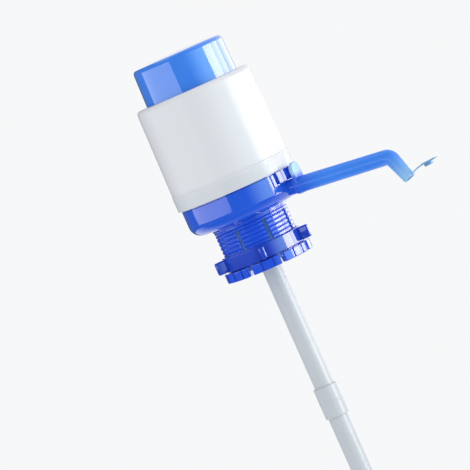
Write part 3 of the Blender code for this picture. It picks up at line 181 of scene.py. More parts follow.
def object_place(tree):
    """Object coordinates."""
    return tree.nodes.new("ShaderNodeTexCoord").outputs["Object"]


def noise(tree, scale, detail=2):
    """Noise on Object coordinates."""
    feeds = {"Vector": object_place(tree), "Scale": scale, "Detail": detail}
    return wired(tree, "TexNoise", feeds).outputs["Fac"]


def faded(tree, value, first, last, curve="SMOOTHSTEP"):
    """A factor that rises from 0 to 1 between two values."""
    feeds = {"Value": value, "From Min": first, "From Max": last}
    return wired(tree, "MapRange", feeds, interpolation_type=curve).outputs["Result"]


def faded_along(tree, direction, first, last):
    """A factor that rises from 0 to 1 between two distances along a direction."""
    feeds = {0: object_place(tree), 1: direction}
    run = wired(tree, "VectorMath", feeds, operation="DOT_PRODUCT")
    return faded(tree, run.outputs["Value"], first, last)


def axis_distance(tree):
    """The distance from the pump's axis."""
    feeds = {0: object_place(tree), 1: (1, 1, 0)}
    flat = wired(tree, "VectorMath", feeds, operation="MULTIPLY")
    reach = wired(tree, "VectorMath", {0: flat.outputs[0]}, operation="LENGTH")
    return reach.outputs["Value"]


def surface_group(name, values):
    """A node group with named inputs and a colour, roughness and normal out. Also its inputs."""
    group = bpy.data.node_groups.new(name, "ShaderNodeTree")
    for label, value in values.items():
        kind = "NodeSocketColor" if isinstance(value, tuple) else "NodeSocketFloat"
        socket = group.interface.new_socket(label, in_out="INPUT", socket_type=kind)
        socket.default_value = value
    for label, kind in (("Colour", "Color"), ("Roughness", "Float"), ("Normal", "Vector")):
        group.interface.new_socket(label, in_out="OUTPUT", socket_type="NodeSocket" + kind)
    return group, group.nodes.new("NodeGroupInput").outputs


def put_out(group, colour, roughness, height, strength, distance):
    """Sends a group's colour and roughness out, with the normal of a bump."""
    bump = wired(group, "Bump", {"Height": height, "Strength": strength, "Distance": distance})
    feeds = {"Colour": colour, "Roughness": roughness, "Normal": bump.outputs["Normal"]}
    feed(group, group.nodes.new("NodeGroupOutput"), feeds)


def mould_surface_group():
    """Moulded plastic: slow shade drift, faint flow marks and the ripple that gloss shows."""
    values = {
        "Colour": (0.5, 0.5, 0.5, 1),
        "Drift": 0.05,
        "Roughness": 0.1,
        "Roughness drift": 0.04,
        "Ripple": 0.1,
    }
    group, given = surface_group("Moulded surface", values)
    slow, fine = noise(group, 18), noise(group, 420, 3)
    # The colour's value is 1 + (noise - 0.5) * drift
    centred = computed(group, "SUBTRACT", slow, 0.5)
    value = computed(group, "MULTIPLY_ADD", centred, given["Drift"], 1)
    tone = wired(group, "HueSaturation", {"Value": value, "Color": given["Colour"]})
    rough = computed(
        group, "MULTIPLY_ADD", fine, given["Roughness drift"], given["Roughness"]
    )
    put_out(group, tone.outputs["Color"], rough, slow, given["Ripple"], 0.0002)
    return group


def satin_grain_group():
    """Fine spark-eroded grain in bump and roughness, and a slow drift between two shades."""
    values = {
        "Colour": (0.8, 0.8, 0.8, 1),
        "Shade": (0.7, 0.7, 0.7, 1),
        "Grain size": 2400,
        "Grain depth": 0.1,
        "Roughness": 0.35,
    }
    group, given = surface_group("Satin grain", values)
    grain = noise(group, given["Grain size"])
    tone = mixed(group, noise(group, 22), given["Colour"], given["Shade"])
    rough = computed(group, "MULTIPLY_ADD", grain, 0.08, given["Roughness"])
    put_out(group, tone, rough, grain, given["Grain depth"], 0.0001)
    return group


MOULD_SURFACE = mould_surface_group()
SATIN_GRAIN = satin_grain_group()


def new_finish(name, group, values, shine):
    """A material whose surface group, the node called Group, feeds its Principled BSDF."""
    material = bpy.data.materials.new(name)
    material.use_nodes = True
    tree = material.node_tree
    surface = wired(tree, "Group", values, node_tree=group).outputs
    feeds = {
        "Base Color": surface["Colour"],
        "Roughness": surface["Roughness"],
        "Normal": surface["Normal"],
    }
    feed(tree, tree.nodes["Principled BSDF"], {**feeds, **shine})
    return material


def recolour(material, colours):
    """Feeds the colour inputs of a finish's surface group."""
    feed(material.node_tree, material.node_tree.nodes["Group"], colours)


def gloss_plastic(name, colour, roughness=0.07, coat=1.0):
    """Glossy moulded plastic."""
    values = {
        "Colour": (*colour, 1),
        "Drift": 0.10,
        "Roughness": roughness,
        "Roughness drift": 0.05,
        "Ripple": 0.05,
    }
    shine = {"IOR": 1.52, "Coat Weight": coat, "Coat Roughness": 0.03, "Coat IOR": 1.5}
    return new_finish(name, MOULD_SURFACE, values, shine)


def lit_bore(material, radius, colour, lit):
    """Lightens a finish inside a radius, where thin plastic lets the light through to the bore."""
    tree = material.node_tree
    past = faded(tree, axis_distance(tree), radius, radius + 0.0010, "LINEAR")
    recolour(material, {"Colour": mixed(tree, past, (*lit, 1), (*colour, 1))})


def spout_plastic(name, colour, fades):
    """Translucent plastic with painted light. Each fade is (direction, from, to, colour) past a
    distance along it: a paler tone painted where light comes through the thin plastic.
    """
    values = {"Drift": 0.06, "Roughness": 0.22, "Roughness drift": 0.06, "Ripple": 0.05}
    material = new_finish(name, MOULD_SURFACE, values, {"IOR": 1.5})
    tree = material.node_tree
    tone = (*colour, 1)
    for direction, first, last, painted_lit_tone in fades:
        tone = mixed(tree, faded_along(tree, direction, first, last), tone, (*painted_lit_tone, 1))
    recolour(material, {"Colour": tone})
    return material


def satin_plastic(name, colour, shade, roughness, grain=2400, depth=0.06):
    """Plain moulded plastic with a fine grain."""
    values = {
        "Colour": (*colour, 1),
        "Shade": (*shade, 1),
        "Grain size": grain,
        "Grain depth": depth,
        "Roughness": roughness,
    }
    return new_finish(name, SATIN_GRAIN, values, {"IOR": 1.5})


def casing_plastic(name, colour, skirt_painted_shade):
    """Milky white plastic, with painted shade on the skirt: a darker tone below the pan's top,
    where the blue pan stands behind it.
    """
    values = {"Grain size": 2400, "Grain depth": 0.05, "Roughness": 0.22}
    material = new_finish(name, SATIN_GRAIN, values, {"IOR": 1.5, "Specular IOR Level": 0.4})
    tree = material.node_tree
    # Painted shade: the skirt's darker tone fades into the white just over the pan's top
    above = faded_along(tree, UP, PAN_TOP - 0.004, PAN_TOP + 0.006)
    for socket, level in (("Colour", 1), ("Shade", 0.97)):
        ends = [(*(level * part for part in tone), 1) for tone in (skirt_painted_shade, colour)]
        recolour(material, {socket: mixed(tree, above, *ends)})
    return material


def plated_steel(name):
    """Zinc-plated steel: a fine grain and a slight stain."""
    values = {
        "Colour": (0.60, 0.60, 0.59, 1),
        "Shade": (0.46, 0.45, 0.43, 1),
        "Grain size": 1500,
        "Grain depth": 0.15,
        "Roughness": 0.28,
    }
    return new_finish(name, SATIN_GRAIN, values, {"Metallic": 1})


CAP_BLUE = gloss_plastic("Cap blue", (0.050, 0.240, 0.88))
PAN_BLUE = gloss_plastic("Pan blue", (0.015, 0.105, 0.74))
COLLET_TONE = (0.012, 0.090, 0.76)
COLLET_BLUE = gloss_plastic("Collet blue", COLLET_TONE, roughness=0.10)
lit_bore(COLLET_BLUE, COLLET_BORE, COLLET_TONE, (0.22, 0.44, 0.92))
RING_BLUE = gloss_plastic("Lock ring blue", (0.014, 0.062, 0.58), roughness=0.10)
# Painted light: the spout pales from its darker root along the shank, towards the mouth and up the
# thumb tab, where light comes through its thin plastic
SPOUT_BLUE = spout_plastic(
    "Spout blue",
    (0.020, 0.125, 0.78),
    (
        (ALONG, COLLAR_START.dot(ALONG), COLLAR_START.dot(ALONG) + 0.030, (0.040, 0.240, 0.90)),
        (LEG, SPOUT_BEND.dot(LEG) - 0.004, MOUTH.dot(LEG) + 0.006, (0.32, 0.60, 0.86)),
        (UP, 0.0190, 0.0235, (0.34, 0.62, 0.88)),
    ),
)
# Painted light and shade: the dust cap is moulded in one with the spout, and its own greyer tone
# stands in for how its thin lid is lit and shaded
LID_PAINTED_LIGHT_BLUE = gloss_plastic("Dust cap blue", (0.15, 0.36, 0.62), roughness=0.2, coat=0)
# The second colour is the skirt's painted shade
CASING_WHITE = casing_plastic("Casing white", (0.775, 0.79, 0.815), (0.69, 0.72, 0.755))
TUBE_WHITE = satin_plastic("Milky tube", (0.62, 0.65, 0.68), (0.56, 0.60, 0.64), 0.25, 900, 0.04)
INNER_WHITE = satin_plastic("Inner white", (0.74, 0.75, 0.76), (0.70, 0.71, 0.72), 0.45)
BELLOWS_GREY = satin_plastic("Bellows grey", (0.58, 0.60, 0.62), (0.50, 0.52, 0.54), 0.5, 1200, 0.2)
SILICONE = satin_plastic("Silicone", (0.62, 0.63, 0.62), (0.52, 0.53, 0.52), 0.4, 1600, 0.1)
STEEL = plated_steel("Plated steel")


# Shaping
def angle_of(place):
    """Degrees round Z from +X."""
    return math.degrees(math.atan2(place.y, place.x))


def reach_of(place):
    """Distance from the Z axis."""
    return math.hypot(place.x, place.y)


def only(kind, items):
    """The verts or edges among a bmesh operator's results."""
    return [item for item in items if isinstance(item, kind)]


def merge(bm):
    """Merges verts that share a place."""
    bmesh.ops.remove_doubles(bm, verts=bm.verts, dist=MERGE_DISTANCE)


def face_outwards(bm):
    """Turns the faces of closed shells outwards."""
    bmesh.ops.recalc_face_normals(bm, faces=bm.faces)


def round_edges(bm, edges, width, segments):
    """Rounds edges off."""
    bmesh.ops.bevel(
        bm,
        geom=edges,
        offset=width,
        segments=segments,
        profile=0.5,
        affect="EDGES",
        material=-1,
    )


def weigh_convex_edges(bm):
    """Marks the edges to round: those that stand out, but for short ones that point outwards."""
    weights = bm.edges.layers.float.new(CONVEX_EDGES)
    for edge in bm.edges:
        start, end = (vert.co for vert in edge.verts)
        outwards = abs(start.z - end.z) < 1e-6 and abs(angle_of(start) - angle_of(end)) < 1e-3
        stands_out = edge.calc_face_angle_signed(0) > CONVEX_ANGLE
        edge[weights] = float(stands_out and not outwards)


def put_in_scene(name, data, placing=Matrix.Identity(4)):
    """A new object in the scene."""
    thing = bpy.data.objects.new(name, data)
    thing.matrix_world = placing
    bpy.context.scene.collection.objects.link(thing)
    return thing


def mesh_object(name, bm, material):
    """A new object in the scene from a bmesh."""
    mesh = bpy.data.meshes.new(name)
    bm.to_mesh(mesh)
    bm.free()
    mesh.materials.append(material)
    return put_in_scene(name, mesh)


def finish_piece(name, bm, material, body, replaced):
    """Turns a bmesh into a piece: merged, faced outwards, shaded, and riding on its body."""
    merge(bm)
    face_outwards(bm)
    return finish_shells(name, bm, material, body, replaced)


def finish_shells(name, bm, material, body, replaced=(), bevel=None):
    """The same for merged shells faced outwards. With no body, the piece is left free to bend."""
    piece = mesh_object(name, bm, material)
    piece.data.shade_smooth()
    if bevel:
        rounding = piece.modifiers.new("Rounded edges", "BEVEL")
        rounding.width, rounding.segments = bevel
        rounding.limit_method = "WEIGHT" if CONVEX_EDGES in piece.data.attributes else "ANGLE"
        rounding.angle_limit = CONVEX_ANGLE
        rounding.miter_outer = "MITER_ARC"
    piece.data.set_sharp_from_angle(angle=SHARP_ANGLE)
    if body:
        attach(piece, body)
    if replaced:
        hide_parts(*replaced)
    return piece


def outline_edges(bm, outline, closed=True, place=None):
    """An outline of (radius, height) points in the XZ plane, or turned, as verts and edges."""
    points = [Vector((radius, 0, height)) for radius, height in outline]
    if place:
        points = [place @ point for point in points]
    verts = [bm.verts.new(point) for point in points]
    pairs = list(zip(verts, verts[1:]))
    if closed:
        pairs.append((verts[-1], verts[0]))
    return verts + [bm.edges.new(pair) for pair in pairs]


def spun(bm, geometry, angle, steps, **options):
    """Spins geometry round Z."""
    return bmesh.ops.spin(
        bm, geom=geometry, cent=ORIGIN, axis=UP, angle=angle, steps=steps, **options
    )


def lathe(bm, outline, closed=True, steps=FINE):
    """Spins an outline once round Z. Open outlines start and end on the axis."""
    spun(bm, outline_edges(bm, outline, closed), TURN, steps, use_merge=True)
    merge(bm)


def stepped_lathe(bm, outline, spans):
    """Spins a closed outline round Z from -X round, in spans of (angle in degrees, steps)."""
    geometry = outline_edges(bm, outline, True, Matrix.Rotation(-math.pi, 3, "Z"))
    for angle, steps in spans:
        geometry = spun(bm, geometry, math.radians(angle), steps)["geom_last"]
    merge(bm)
    face_outwards(bm)


def corner_arc(before, corner, after, reach, steps):
    """The points of an arc in the corner of a line, smaller where a run is short for it."""
    back, ahead = before - corner, after - corner
    half = back.angle(ahead) / 2
    shorter = min(back.length, ahead.length)
    run = min(reach / math.tan(half), RUN_SHARE * shorter)
    radius = run * math.tan(half)
    back, ahead = back.normalized(), ahead.normalized()
    centre = corner + (back + ahead).normalized() * (radius / math.sin(half))
    first = (corner + back * run - centre).normalized()
    last = (corner + ahead * run - centre).normalized()
    return [centre + first.slerp(last, k / steps) * radius for k in range(steps + 1)]


def rounded(points, steps=4):
    """An open outline, with an arc of a corner's third value, its radius, where it has one."""
    flat = [Vector(point[:2]) for point in points]
    line = [flat[0]]
    for k in range(1, len(flat) - 1):
        bend = math.pi - (flat[k - 1] - flat[k]).angle(flat[k + 1] - flat[k])
        if len(points[k]) > 2 and bend >= NEARLY_STRAIGHT:
            line += corner_arc(flat[k - 1], flat[k], flat[k + 1], points[k][2], steps)
        else:
            line.append(flat[k])
    line.append(flat[-1])
    return supported(line)


def supported(line):
    """Adds a point near both ends of long straight runs, which keeps smooth shading flat there."""
    held = [tuple(line[0])]
    for start, end in zip(line, line[1:]):
        run = end - start
        if run.length > 5 * SUPPORT_INSET:
            step = run.normalized() * SUPPORT_INSET
            held += [tuple(start + step), tuple(end - step)]
        held.append(tuple(end))
    return held


def closed_rounded(points, steps=4):
    """The same for a closed outline, whose first point is left sharp."""
    return rounded([*points, points[0]], steps)[:-1]


def pointing(place, direction):
    """A matrix at a place whose local +Z points along a direction and local X stays level."""
    return Matrix.Translation(place) @ direction.to_track_quat("Z", "Y").to_matrix().to_4x4()


def facing(place, *axes):
    """A matrix at a place with the directions that its local axes take."""
    return Matrix.Translation(place) @ Matrix(axes).transposed().to_4x4()


def ring_place(line, k, radius):
    """The matrix that puts a unit circle square on point k of a line in the XZ plane."""
    before, after = line[max(k - 1, 0)], line[min(k + 1, len(line) - 1)]
    heading = (after - before).normalized()
    out = SIDEWAYS.cross(heading).normalized()
    return facing(line[k], out * radius, SIDEWAYS * radius, heading)


def sweep_round(bm, places):
    """Draws a unit circle at the first place and extrudes it through the rest and back to it."""
    ring = bmesh.ops.create_circle(bm, radius=1, segments=MEDIUM, matrix=places[0])["verts"]
    edges = list({edge for vert in ring for edge in vert.link_edges})
    for before, after in zip(places, [*places[1:], places[0]]):
        grown = bmesh.ops.extrude_edge_only(bm, edges=edges)["geom"]
        ring = only(bmesh.types.BMVert, grown)
        fresh = set(ring)
        edges = [edge for edge in only(bmesh.types.BMEdge, grown) if fresh.issuperset(edge.verts)]
        bmesh.ops.transform(bm, matrix=after @ before.inverted(), verts=ring)
    merge(bm)


def grow_faces(bm, vec):
    """Extrudes all faces and moves the new ones, which gives a sheet its thickness."""
    grown = bmesh.ops.extrude_face_region(bm, geom=bm.faces[:])["geom"]
    bmesh.ops.translate(bm, vec=vec, verts=only(bmesh.types.BMVert, grown))


def add_shells(bm, own, place=Matrix.Identity(4)):
    """Faces closed shells outwards, moves them to a place and puts them into another bmesh."""
    face_outwards(own)
    bmesh.ops.transform(own, matrix=place, verts=own.verts)
    if place.determinant() < 0:
        bmesh.ops.reverse_faces(own, faces=own.faces)
    mesh = bpy.data.meshes.new("shells")
    own.to_mesh(mesh)
    own.free()
    bm.from_mesh(mesh)
    bpy.data.meshes.remove(mesh)


def add_lathe(bm, outline, place=Matrix.Identity(4), closed=True, steps=MEDIUM):
    """A turned shell of its own inside a bmesh, standing on a place along its local +Z."""
    own = bmesh.new()
    lathe(own, outline, closed, steps)
    add_shells(bm, own, place)


def add_block(bm, size, place, rounding, segments=3):
    """A block with rounded edges, centred on a place."""
    block = bmesh.new()
    bmesh.ops.create_cube(block, size=1, matrix=Matrix.Diagonal((*size, 1)))
    round_edges(block, block.edges[:], rounding, segments)
    add_shells(bm, block, place)


def add_sector(bm, outline, first, angle, steps, rise=0.0):
    """A closed outline as a face, spun round Z from an angle, climbing by rise. A closed shell."""
    turn = Matrix.Rotation(first, 3, "Z")
    corners = [turn @ Vector((radius, 0, height)) for radius, height in outline]
    face = bm.faces.new([bm.verts.new(corner) for corner in corners])
    spun(bm, [face], angle, steps, dvec=UP * (rise / steps))


def cut_off(bm, place, direction):
    """Cuts away what lies past a plane. The edges of the cut."""
    geometry = bm.verts[:] + bm.edges[:] + bm.faces[:]
    made = bmesh.ops.bisect_plane(
        bm,
        geom=geometry,
        plane_co=place,
        plane_no=direction,
        clear_outer=True,
        dist=CUT_DISTANCE,
    )
    return only(bmesh.types.BMEdge, made["geom_cut"])


def slice_off(bm, place, direction):
    """Cuts away what lies past a plane and closes the cut."""
    bmesh.ops.edgeloop_fill(bm, edges=cut_off(bm, place, direction))


def faces_within(bm, half_angle, heights, reaches):
    """The faces whose middle is near +X, between two heights and two distances from the axis."""
    found = []
    for face in bm.faces:
        middle = face.calc_center_median()
        beside = abs(angle_of(middle)) < half_angle
        level = heights[0] < middle.z < heights[1]
        if beside and level and reaches[0] < reach_of(middle) < reaches[1]:
            found.append(face)
    return found


def push_faces(bm, faces, radius):
    """Moves faces in or out to a radius, on walls that grow from where their edge was."""
    grown = bmesh.ops.extrude_face_region(bm, geom=faces)["geom"]
    for vert in only(bmesh.types.BMVert, grown):
        vert.co.xy *= radius / reach_of(vert.co)
    bmesh.ops.delete(bm, geom=faces, context="FACES")


# The head
def make_press_cap():
    """The pressed cap: low crown, soft corner, drafted side, stop flange and guide skirt."""
    reaches = [step / 1000 for step in range(32)]
    side = [
        *((reach, CAP_CROWN - CAP_CROWN_FALL * reach**2) for reach in reaches),
        (0.0384, 0.14658, 0.0034),
        (CAP_RADIUS, CASING_TOP),
        (CAP_RADIUS, CAP_STOP),
        (0.0462, CAP_STOP, 0.0004),
        (0.0462, CAP_SKIRT_BOTTOM, 0.0005),
        (0.0442, CAP_SKIRT_BOTTOM, 0.0005),
        (0.0442, 0.1113),
        (0.0372, 0.1113),
        (0.0364, CAP_CEILING, 0.0020),
        (0.0140, CAP_CEILING),
        (0.0140, 0.1359),
        (0.0120, 0.1359),
        (0.0120, CAP_CEILING),
        (0, CAP_CEILING),
    ]
    bm = bmesh.new()
    lathe(bm, rounded(side, 6), closed=False)
    finish_piece("press_cap_shell", bm, CAP_BLUE, "press_head", ["press_cap"])


def make_casing():
    """The sleeve: lip round the cap, slight taper, skirt with a shallow panel over the spout."""
    outline = [
        (CASING_LIP_RADIUS, 0.1150),
        (CASING_LIP_RADIUS, CASING_TOP, 0.0006),
        (CASING_TOP_RADIUS, CASING_TOP, 0.0036),
        (0.0499, 0.0422),
        (0.0504, 0.0417, 0.0004),
        (CASING_SKIRT_RADIUS, 0.0401),
        (CASING_SKIRT_RADIUS, 0.0399),
        (CASING_SKIRT_RADIUS, CASING_BOTTOM, 0.0008),
        (0.0481, CASING_BOTTOM, 0.0004),
        (0.0481, 0.0402),
        (0.0477, 0.0402),
        (0.0466, 0.1138),
        (CASING_LIP_RADIUS, 0.1138),
    ]
    bm = bmesh.new()
    spans = [(159.2, 64), (0.8, 1), (40, 16), (0.8, 1), (159.2, 64)]
    stepped_lathe(bm, closed_rounded(outline, 6), spans)
    panel_half_angle, panel_top, panel_depth = 20.05, 0.0400, 0.0006
    for vert in bm.verts:
        reach = reach_of(vert.co)
        inside = abs(angle_of(vert.co)) < panel_half_angle and vert.co.z < panel_top
        if inside and reach > 0.0490:
            vert.co.xy *= (reach - panel_depth) / reach
    finish_piece("casing_sleeve", bm, CASING_WHITE, "pump_base", ["outer_casing"])


def bowl_arc(radius, angles):
    """The curve of the pan's lower corner, at angles from straight down."""
    turns = [math.radians(angle) for angle in angles]
    return [(0.0382 + radius * math.sin(turn), 0.0146 - radius * math.cos(turn)) for turn in turns]


def make_pan():
    """The pan: bowl, shadow gap under the casing, framed pocket over the spout, spout's boss."""
    gap_radius = PAN_RADIUS - 0.0008
    outline = [
        (WATER_BORE, PAN_BOTTOM),
        *bowl_arc(0.0096, range(0, 91, 6)),
        (PAN_RADIUS, 0.0149),
        (PAN_RADIUS, 0.0182),
        (PAN_RADIUS, 0.0197),
        (PAN_RADIUS, 0.0284),
        (gap_radius, 0.0286),
        (gap_radius, 0.0315),
        (gap_radius, PAN_TOP),
        (PAN_INNER_RADIUS, PAN_TOP),
        (PAN_INNER_RADIUS, 0.0337),
        (PAN_INNER_RADIUS, 0.0233),
        (0.0434, 0.0233),
        (0.0434, 0.0213),
        (PAN_INNER_RADIUS, 0.0191),
        (PAN_INNER_RADIUS, 0.0175),
        *bowl_arc(0.0074, range(90, -1, -10)),
        (WATER_BORE, 0.0072),
    ]
    bm = bmesh.new()
    spans = [(157.9, 62), (1, 1), (2.6, 2), (37, 16), (2.6, 2), (1, 1), (157.9, 62)]
    stepped_lathe(bm, outline, spans)
    push_faces(bm, faces_within(bm, 21.1, (0.0191, 0.0337), (0, 0.0460)), 0.0414)
    pocket = faces_within(bm, 18.5, (0.0197, 0.0315), (0.0470, 1))
    rim = faces_within(bm, 22.1, (0.0182, 0.0284), (0.0470, 1))
    push_faces(bm, [face for face in rim if face not in pocket], PAN_RADIUS + 0.0009)
    push_faces(bm, pocket, 0.0436)
    merge(bm)
    face_outwards(bm)
    boss = [
        (0.0064, 0),
        (0.0064, BOSS_LENGTH, 0.0006),
        (0.0049, BOSS_LENGTH, 0.0003),
        (0.0049, 0),
    ]
    add_lathe(bm, closed_rounded(boss), pointing(SPOUT_ROOT - ALONG * BOSS_SETBACK, ALONG))
    weigh_convex_edges(bm)
    finish_shells(
        "pan_bowl", bm, PAN_BLUE, "pump_base", ["base_pan"], bevel=(0.0005, 3)
    )


# The neck clamp
def thread_outline(lowest, highest, start_height):
    """A wall from the bore out to the thread: crests and roots up the outside, plain inside."""
    flank = ((0, 0), (0.21, 0), (0.26, 0), (0.32, 0.12), (0.43, 0.86))
    profile = [*flank, (0.5, 1), *((1 - share, dip) for share, dip in reversed(flank[1:]))]
    count = math.ceil((highest - lowest) / THREAD_PITCH) + 2
    outside = []
    for k in range(count):
        for share, dip in profile:
            height = start_height + (k + share) * THREAD_PITCH
            outside.append((THREAD_CREST - THREAD_DEPTH * dip, height))
    outside.append((THREAD_CREST, start_height + count * THREAD_PITCH))
    return [(COLLET_BORE, outside[0][1]), *outside, (COLLET_BORE, outside[-1][1])]


def threaded_wall(first, angle, steps, lowest, highest):
    """Part of the threaded wall: the outline spun and climbing a pitch a turn, past its heights."""
    bm = bmesh.new()
    phase = THREAD_PITCH * first / TURN
    start_height = lowest - 1.5 * THREAD_PITCH + phase % THREAD_PITCH - THREAD_PITCH / 2
    outline = thread_outline(lowest - 1.5 * THREAD_PITCH, highest + THREAD_PITCH, start_height)
    add_sector(bm, outline, first, angle, steps, THREAD_PITCH * angle / TURN)
    return bm


def out_and_side(angle, way):
    """The direction out at an angle round Z, and the one square to it, either way round."""
    out = Vector((math.cos(angle), math.sin(angle), 0))
    return out, UP.cross(out) * way


def make_fingers():
    """The eight fingers: threaded outside, each ending in three blunt teeth with a bead inside."""
    tooth_outline = [
        (0.0356, -0.0350),
        (0.0356, TIP_BOTTOM + 0.0001),
        (TIP_RADIUS, TIP_BOTTOM, 0.0007),
        (TIP_RADIUS, TIP_TOP, 0.0007),
        (0.0356, TIP_TOP - 0.0001),
    ]
    core_outline = [
        (COLLET_BORE, TIP_TOP),
        (COLLET_BORE, -0.0338),
        (COLLET_BORE - 0.0006, -0.0348),
        (COLLET_BORE, -0.0358),
        (COLLET_BORE, -0.0378),
        (0.0298, TIP_BOTTOM + 0.0002),
        (0.0357, TIP_BOTTOM + 0.0002),
        (FINGER_RADIUS, TIP_BOTTOM + 0.0005),
        (FINGER_RADIUS, TIP_TOP),
    ]
    tooth_spans = ((3.6, 16.4), (18.6, 31.4), (33.6, 41.4))
    slot_half = SLOT_WIDTH / 2
    step = TURN / FINGERS
    bm = bmesh.new()
    for k in range(FINGERS):
        start = SLOT_TURN + step * k
        wall = threaded_wall(start, step, 16, TIP_TOP, SLOT_TOP)
        slice_off(wall, UP * SLOT_TOP, UP)
        slice_off(wall, UP * TIP_TOP, -UP)
        core = bmesh.new()
        add_sector(core, core_outline, start, step, 16)
        flanks = (out_and_side(start, 1), out_and_side(start + step, -1))
        for shell, reach in ((wall, THREAD_CREST), (core, FINGER_RADIUS)):
            for _, side in flanks:
                slice_off(shell, side * slot_half, -side)
            for out, side in flanks:
                slice_off(shell, out * reach + side * (slot_half + SLOT_EASE), out - side)
            add_shells(bm, shell)
        for first, last in tooth_spans:
            tooth = bmesh.new()
            add_sector(
                tooth,
                closed_rounded(tooth_outline, 3),
                start + math.radians(first),
                math.radians(last - first),
                6,
            )
            add_shells(bm, tooth)
    return bm


def make_collet():
    """The clamp collet: flange under the pan, web, threaded collar and its fingers."""
    bm = make_fingers()
    collar = threaded_wall(-math.pi, TURN, FINE, SLOT_TOP, WEB_BOTTOM)
    merge(collar)
    end_faces = [face for face in collar.faces if len(face.verts) > 4]
    bmesh.ops.delete(collar, geom=end_faces, context="FACES")
    rims = ((WEB_BOTTOM, UP), (SLOT_TOP, -UP))
    for height, side in rims:
        cut_off(collar, UP * height, side)
    merge(collar)
    open_edges = [edge for edge in collar.edges if edge.is_boundary]
    for height, side in rims:
        rim = [edge for edge in open_edges if abs(edge.verts[0].co.z - height) < 1e-6]
        bmesh.ops.triangle_fill(collar, edges=rim, use_beauty=True, normal=side)
    add_shells(bm, collar)
    web = [
        (WATER_BORE, WEB_TOP),
        (WEB_RADIUS, WEB_TOP, 0.0005),
        (WEB_RADIUS, WEB_BOTTOM, 0.0005),
        (WATER_BORE, WEB_BOTTOM),
    ]
    add_lathe(bm, closed_rounded(web, 3), steps=FINE)
    boss = [
        (0, WEB_BOTTOM),
        (SCREW_BOSS_RADIUS, WEB_BOTTOM),
        (SCREW_BOSS_RADIUS, -0.0035, 0.0005),
        (0, -0.0035),
    ]
    for k in range(SCREWS):
        turn = Matrix.Rotation(math.radians(60) + TURN * k / SCREWS, 4, "Z")
        place = Matrix.Translation(turn @ Vector((SCREW_REACH, 0, 0)))
        add_lathe(bm, rounded(boss, 3), place, closed=False, steps=32)
    finish_shells(
        "threaded_collet", bm, COLLET_BLUE, "pump_base", ["clamp_collet"],
        bevel=(0.00032, 3),
    )


def make_lock_ring():
    """The lock ring: smooth band with rounded edges and five rounded lugs."""
    band = [
        (RING_BORE, (RING_TOP + RING_BOTTOM) / 2),
        (RING_BORE, RING_TOP, 0.0005),
        (RING_RADIUS, RING_TOP, 0.0007),
        (RING_RADIUS, RING_BOTTOM, 0.0007),
        (RING_BORE, RING_BOTTOM, 0.0005),
    ]
    bm = bmesh.new()
    add_lathe(bm, closed_rounded(band), steps=FINE)
    for k in range(LUGS):
        turn = Matrix.Rotation(math.radians(12) + TURN * k / LUGS, 4, "Z")
        place = turn @ Matrix.Translation((0.0375, 0, -0.0245))
        add_block(bm, (0.0098, 0.0047, 0.0106), place, 0.0014, 5)
    finish_shells("lugged_ring", bm, RING_BLUE, "turning_ring", ["lock_ring"])


def make_gasket():
    """The neck gasket with its sealing lip."""
    outline = [
        (GASKET_BORE, 0.0002),
        (0.0230, 0.0002, 0.0002),
        (0.0234, 0, 0.0002),
        (0.0242, 0.0002, 0.0002),
        (0.0284, 0.0002, 0.0004),
        (0.0284, 0.0024, 0.0004),
        (GASKET_BORE, 0.0024, 0.0004),
    ]
    bm = bmesh.new()
    lathe(bm, closed_rounded(outline, 3))
    finish_piece("gasket_ring", bm, SILICONE, "pump_base", ["neck_gasket"])


# The spout
def spout_radius(place, root, bend, tip):
    """The spout's radius at a point of its line, tapered root to bend to tip."""
    past = (place - SPOUT_BEND).dot(LEG)
    if past > 0:
        return bend + (tip - bend) * min(1, past / (MOUTH - SPOUT_BEND).length)
    before = (SPOUT_BEND - place).dot(ALONG)
    return bend + (root - bend) * max(0, before / (SPOUT_BEND - COLLAR_START).length)


def make_spout():
    """The spout: grooved shank, collar, thumb tab, tapered bent tube, its half of the strap."""
    start = COLLAR_START + ALONG * 0.002
    path = [start, *corner_arc(start, SPOUT_BEND, MOUTH, BEND_RADIUS, 16), MOUTH]
    radii = [spout_radius(place, 0.0066, 0.00615, 0.0051) for place in path] + [0.0048]
    bores = [spout_radius(place, 0.0047, 0.00425, 0.0041) for place in path]
    line = [*path[:-1], MOUTH - LEG * 0.0003, MOUTH]
    places = [ring_place(line, k, radius) for k, radius in enumerate(radii)]
    places += reversed([ring_place(path, k, radius) for k, radius in enumerate(bores)])
    bm = bmesh.new()
    tube = bmesh.new()
    sweep_round(tube, places)
    add_shells(bm, tube)
    root = [
        (0.0033, 0.0),
        (SHANK_RADIUS, 0.0, 0.0004),
        (SHANK_RADIUS, 0.0042),
        (0.0036, 0.0042),
        (0.0036, 0.0058),
        (SHANK_RADIUS, 0.0058),
        (SHANK_RADIUS, SHANK_LENGTH),
        (0.0072, SHANK_LENGTH, 0.0005),
        (0.0070, 0.0320, 0.0020),
        (0.0066, 0.0355),
        (0.0033, 0.0355),
    ]
    add_lathe(bm, closed_rounded(root), pointing(COLLAR_START - ALONG * SHANK_LENGTH, ALONG))
    add_thumb_tab(bm)
    strap_length = HINGE_REACH - STRAP_START - HINGE_GAP
    out = STRAP_START + strap_length / 2
    middle = MOUTH + ACROSS * out - LEG * (HINGE_DROP + 0.00015 + STRAP_THICKNESS / 2)
    size = (STRAP_WIDTH, strap_length, STRAP_THICKNESS)
    add_block(bm, size, pointing(middle, -LEG), STRAP_ROUNDING)
    finish_shells("bent_spout", bm, SPOUT_BLUE, "pump_base", ["spout"])


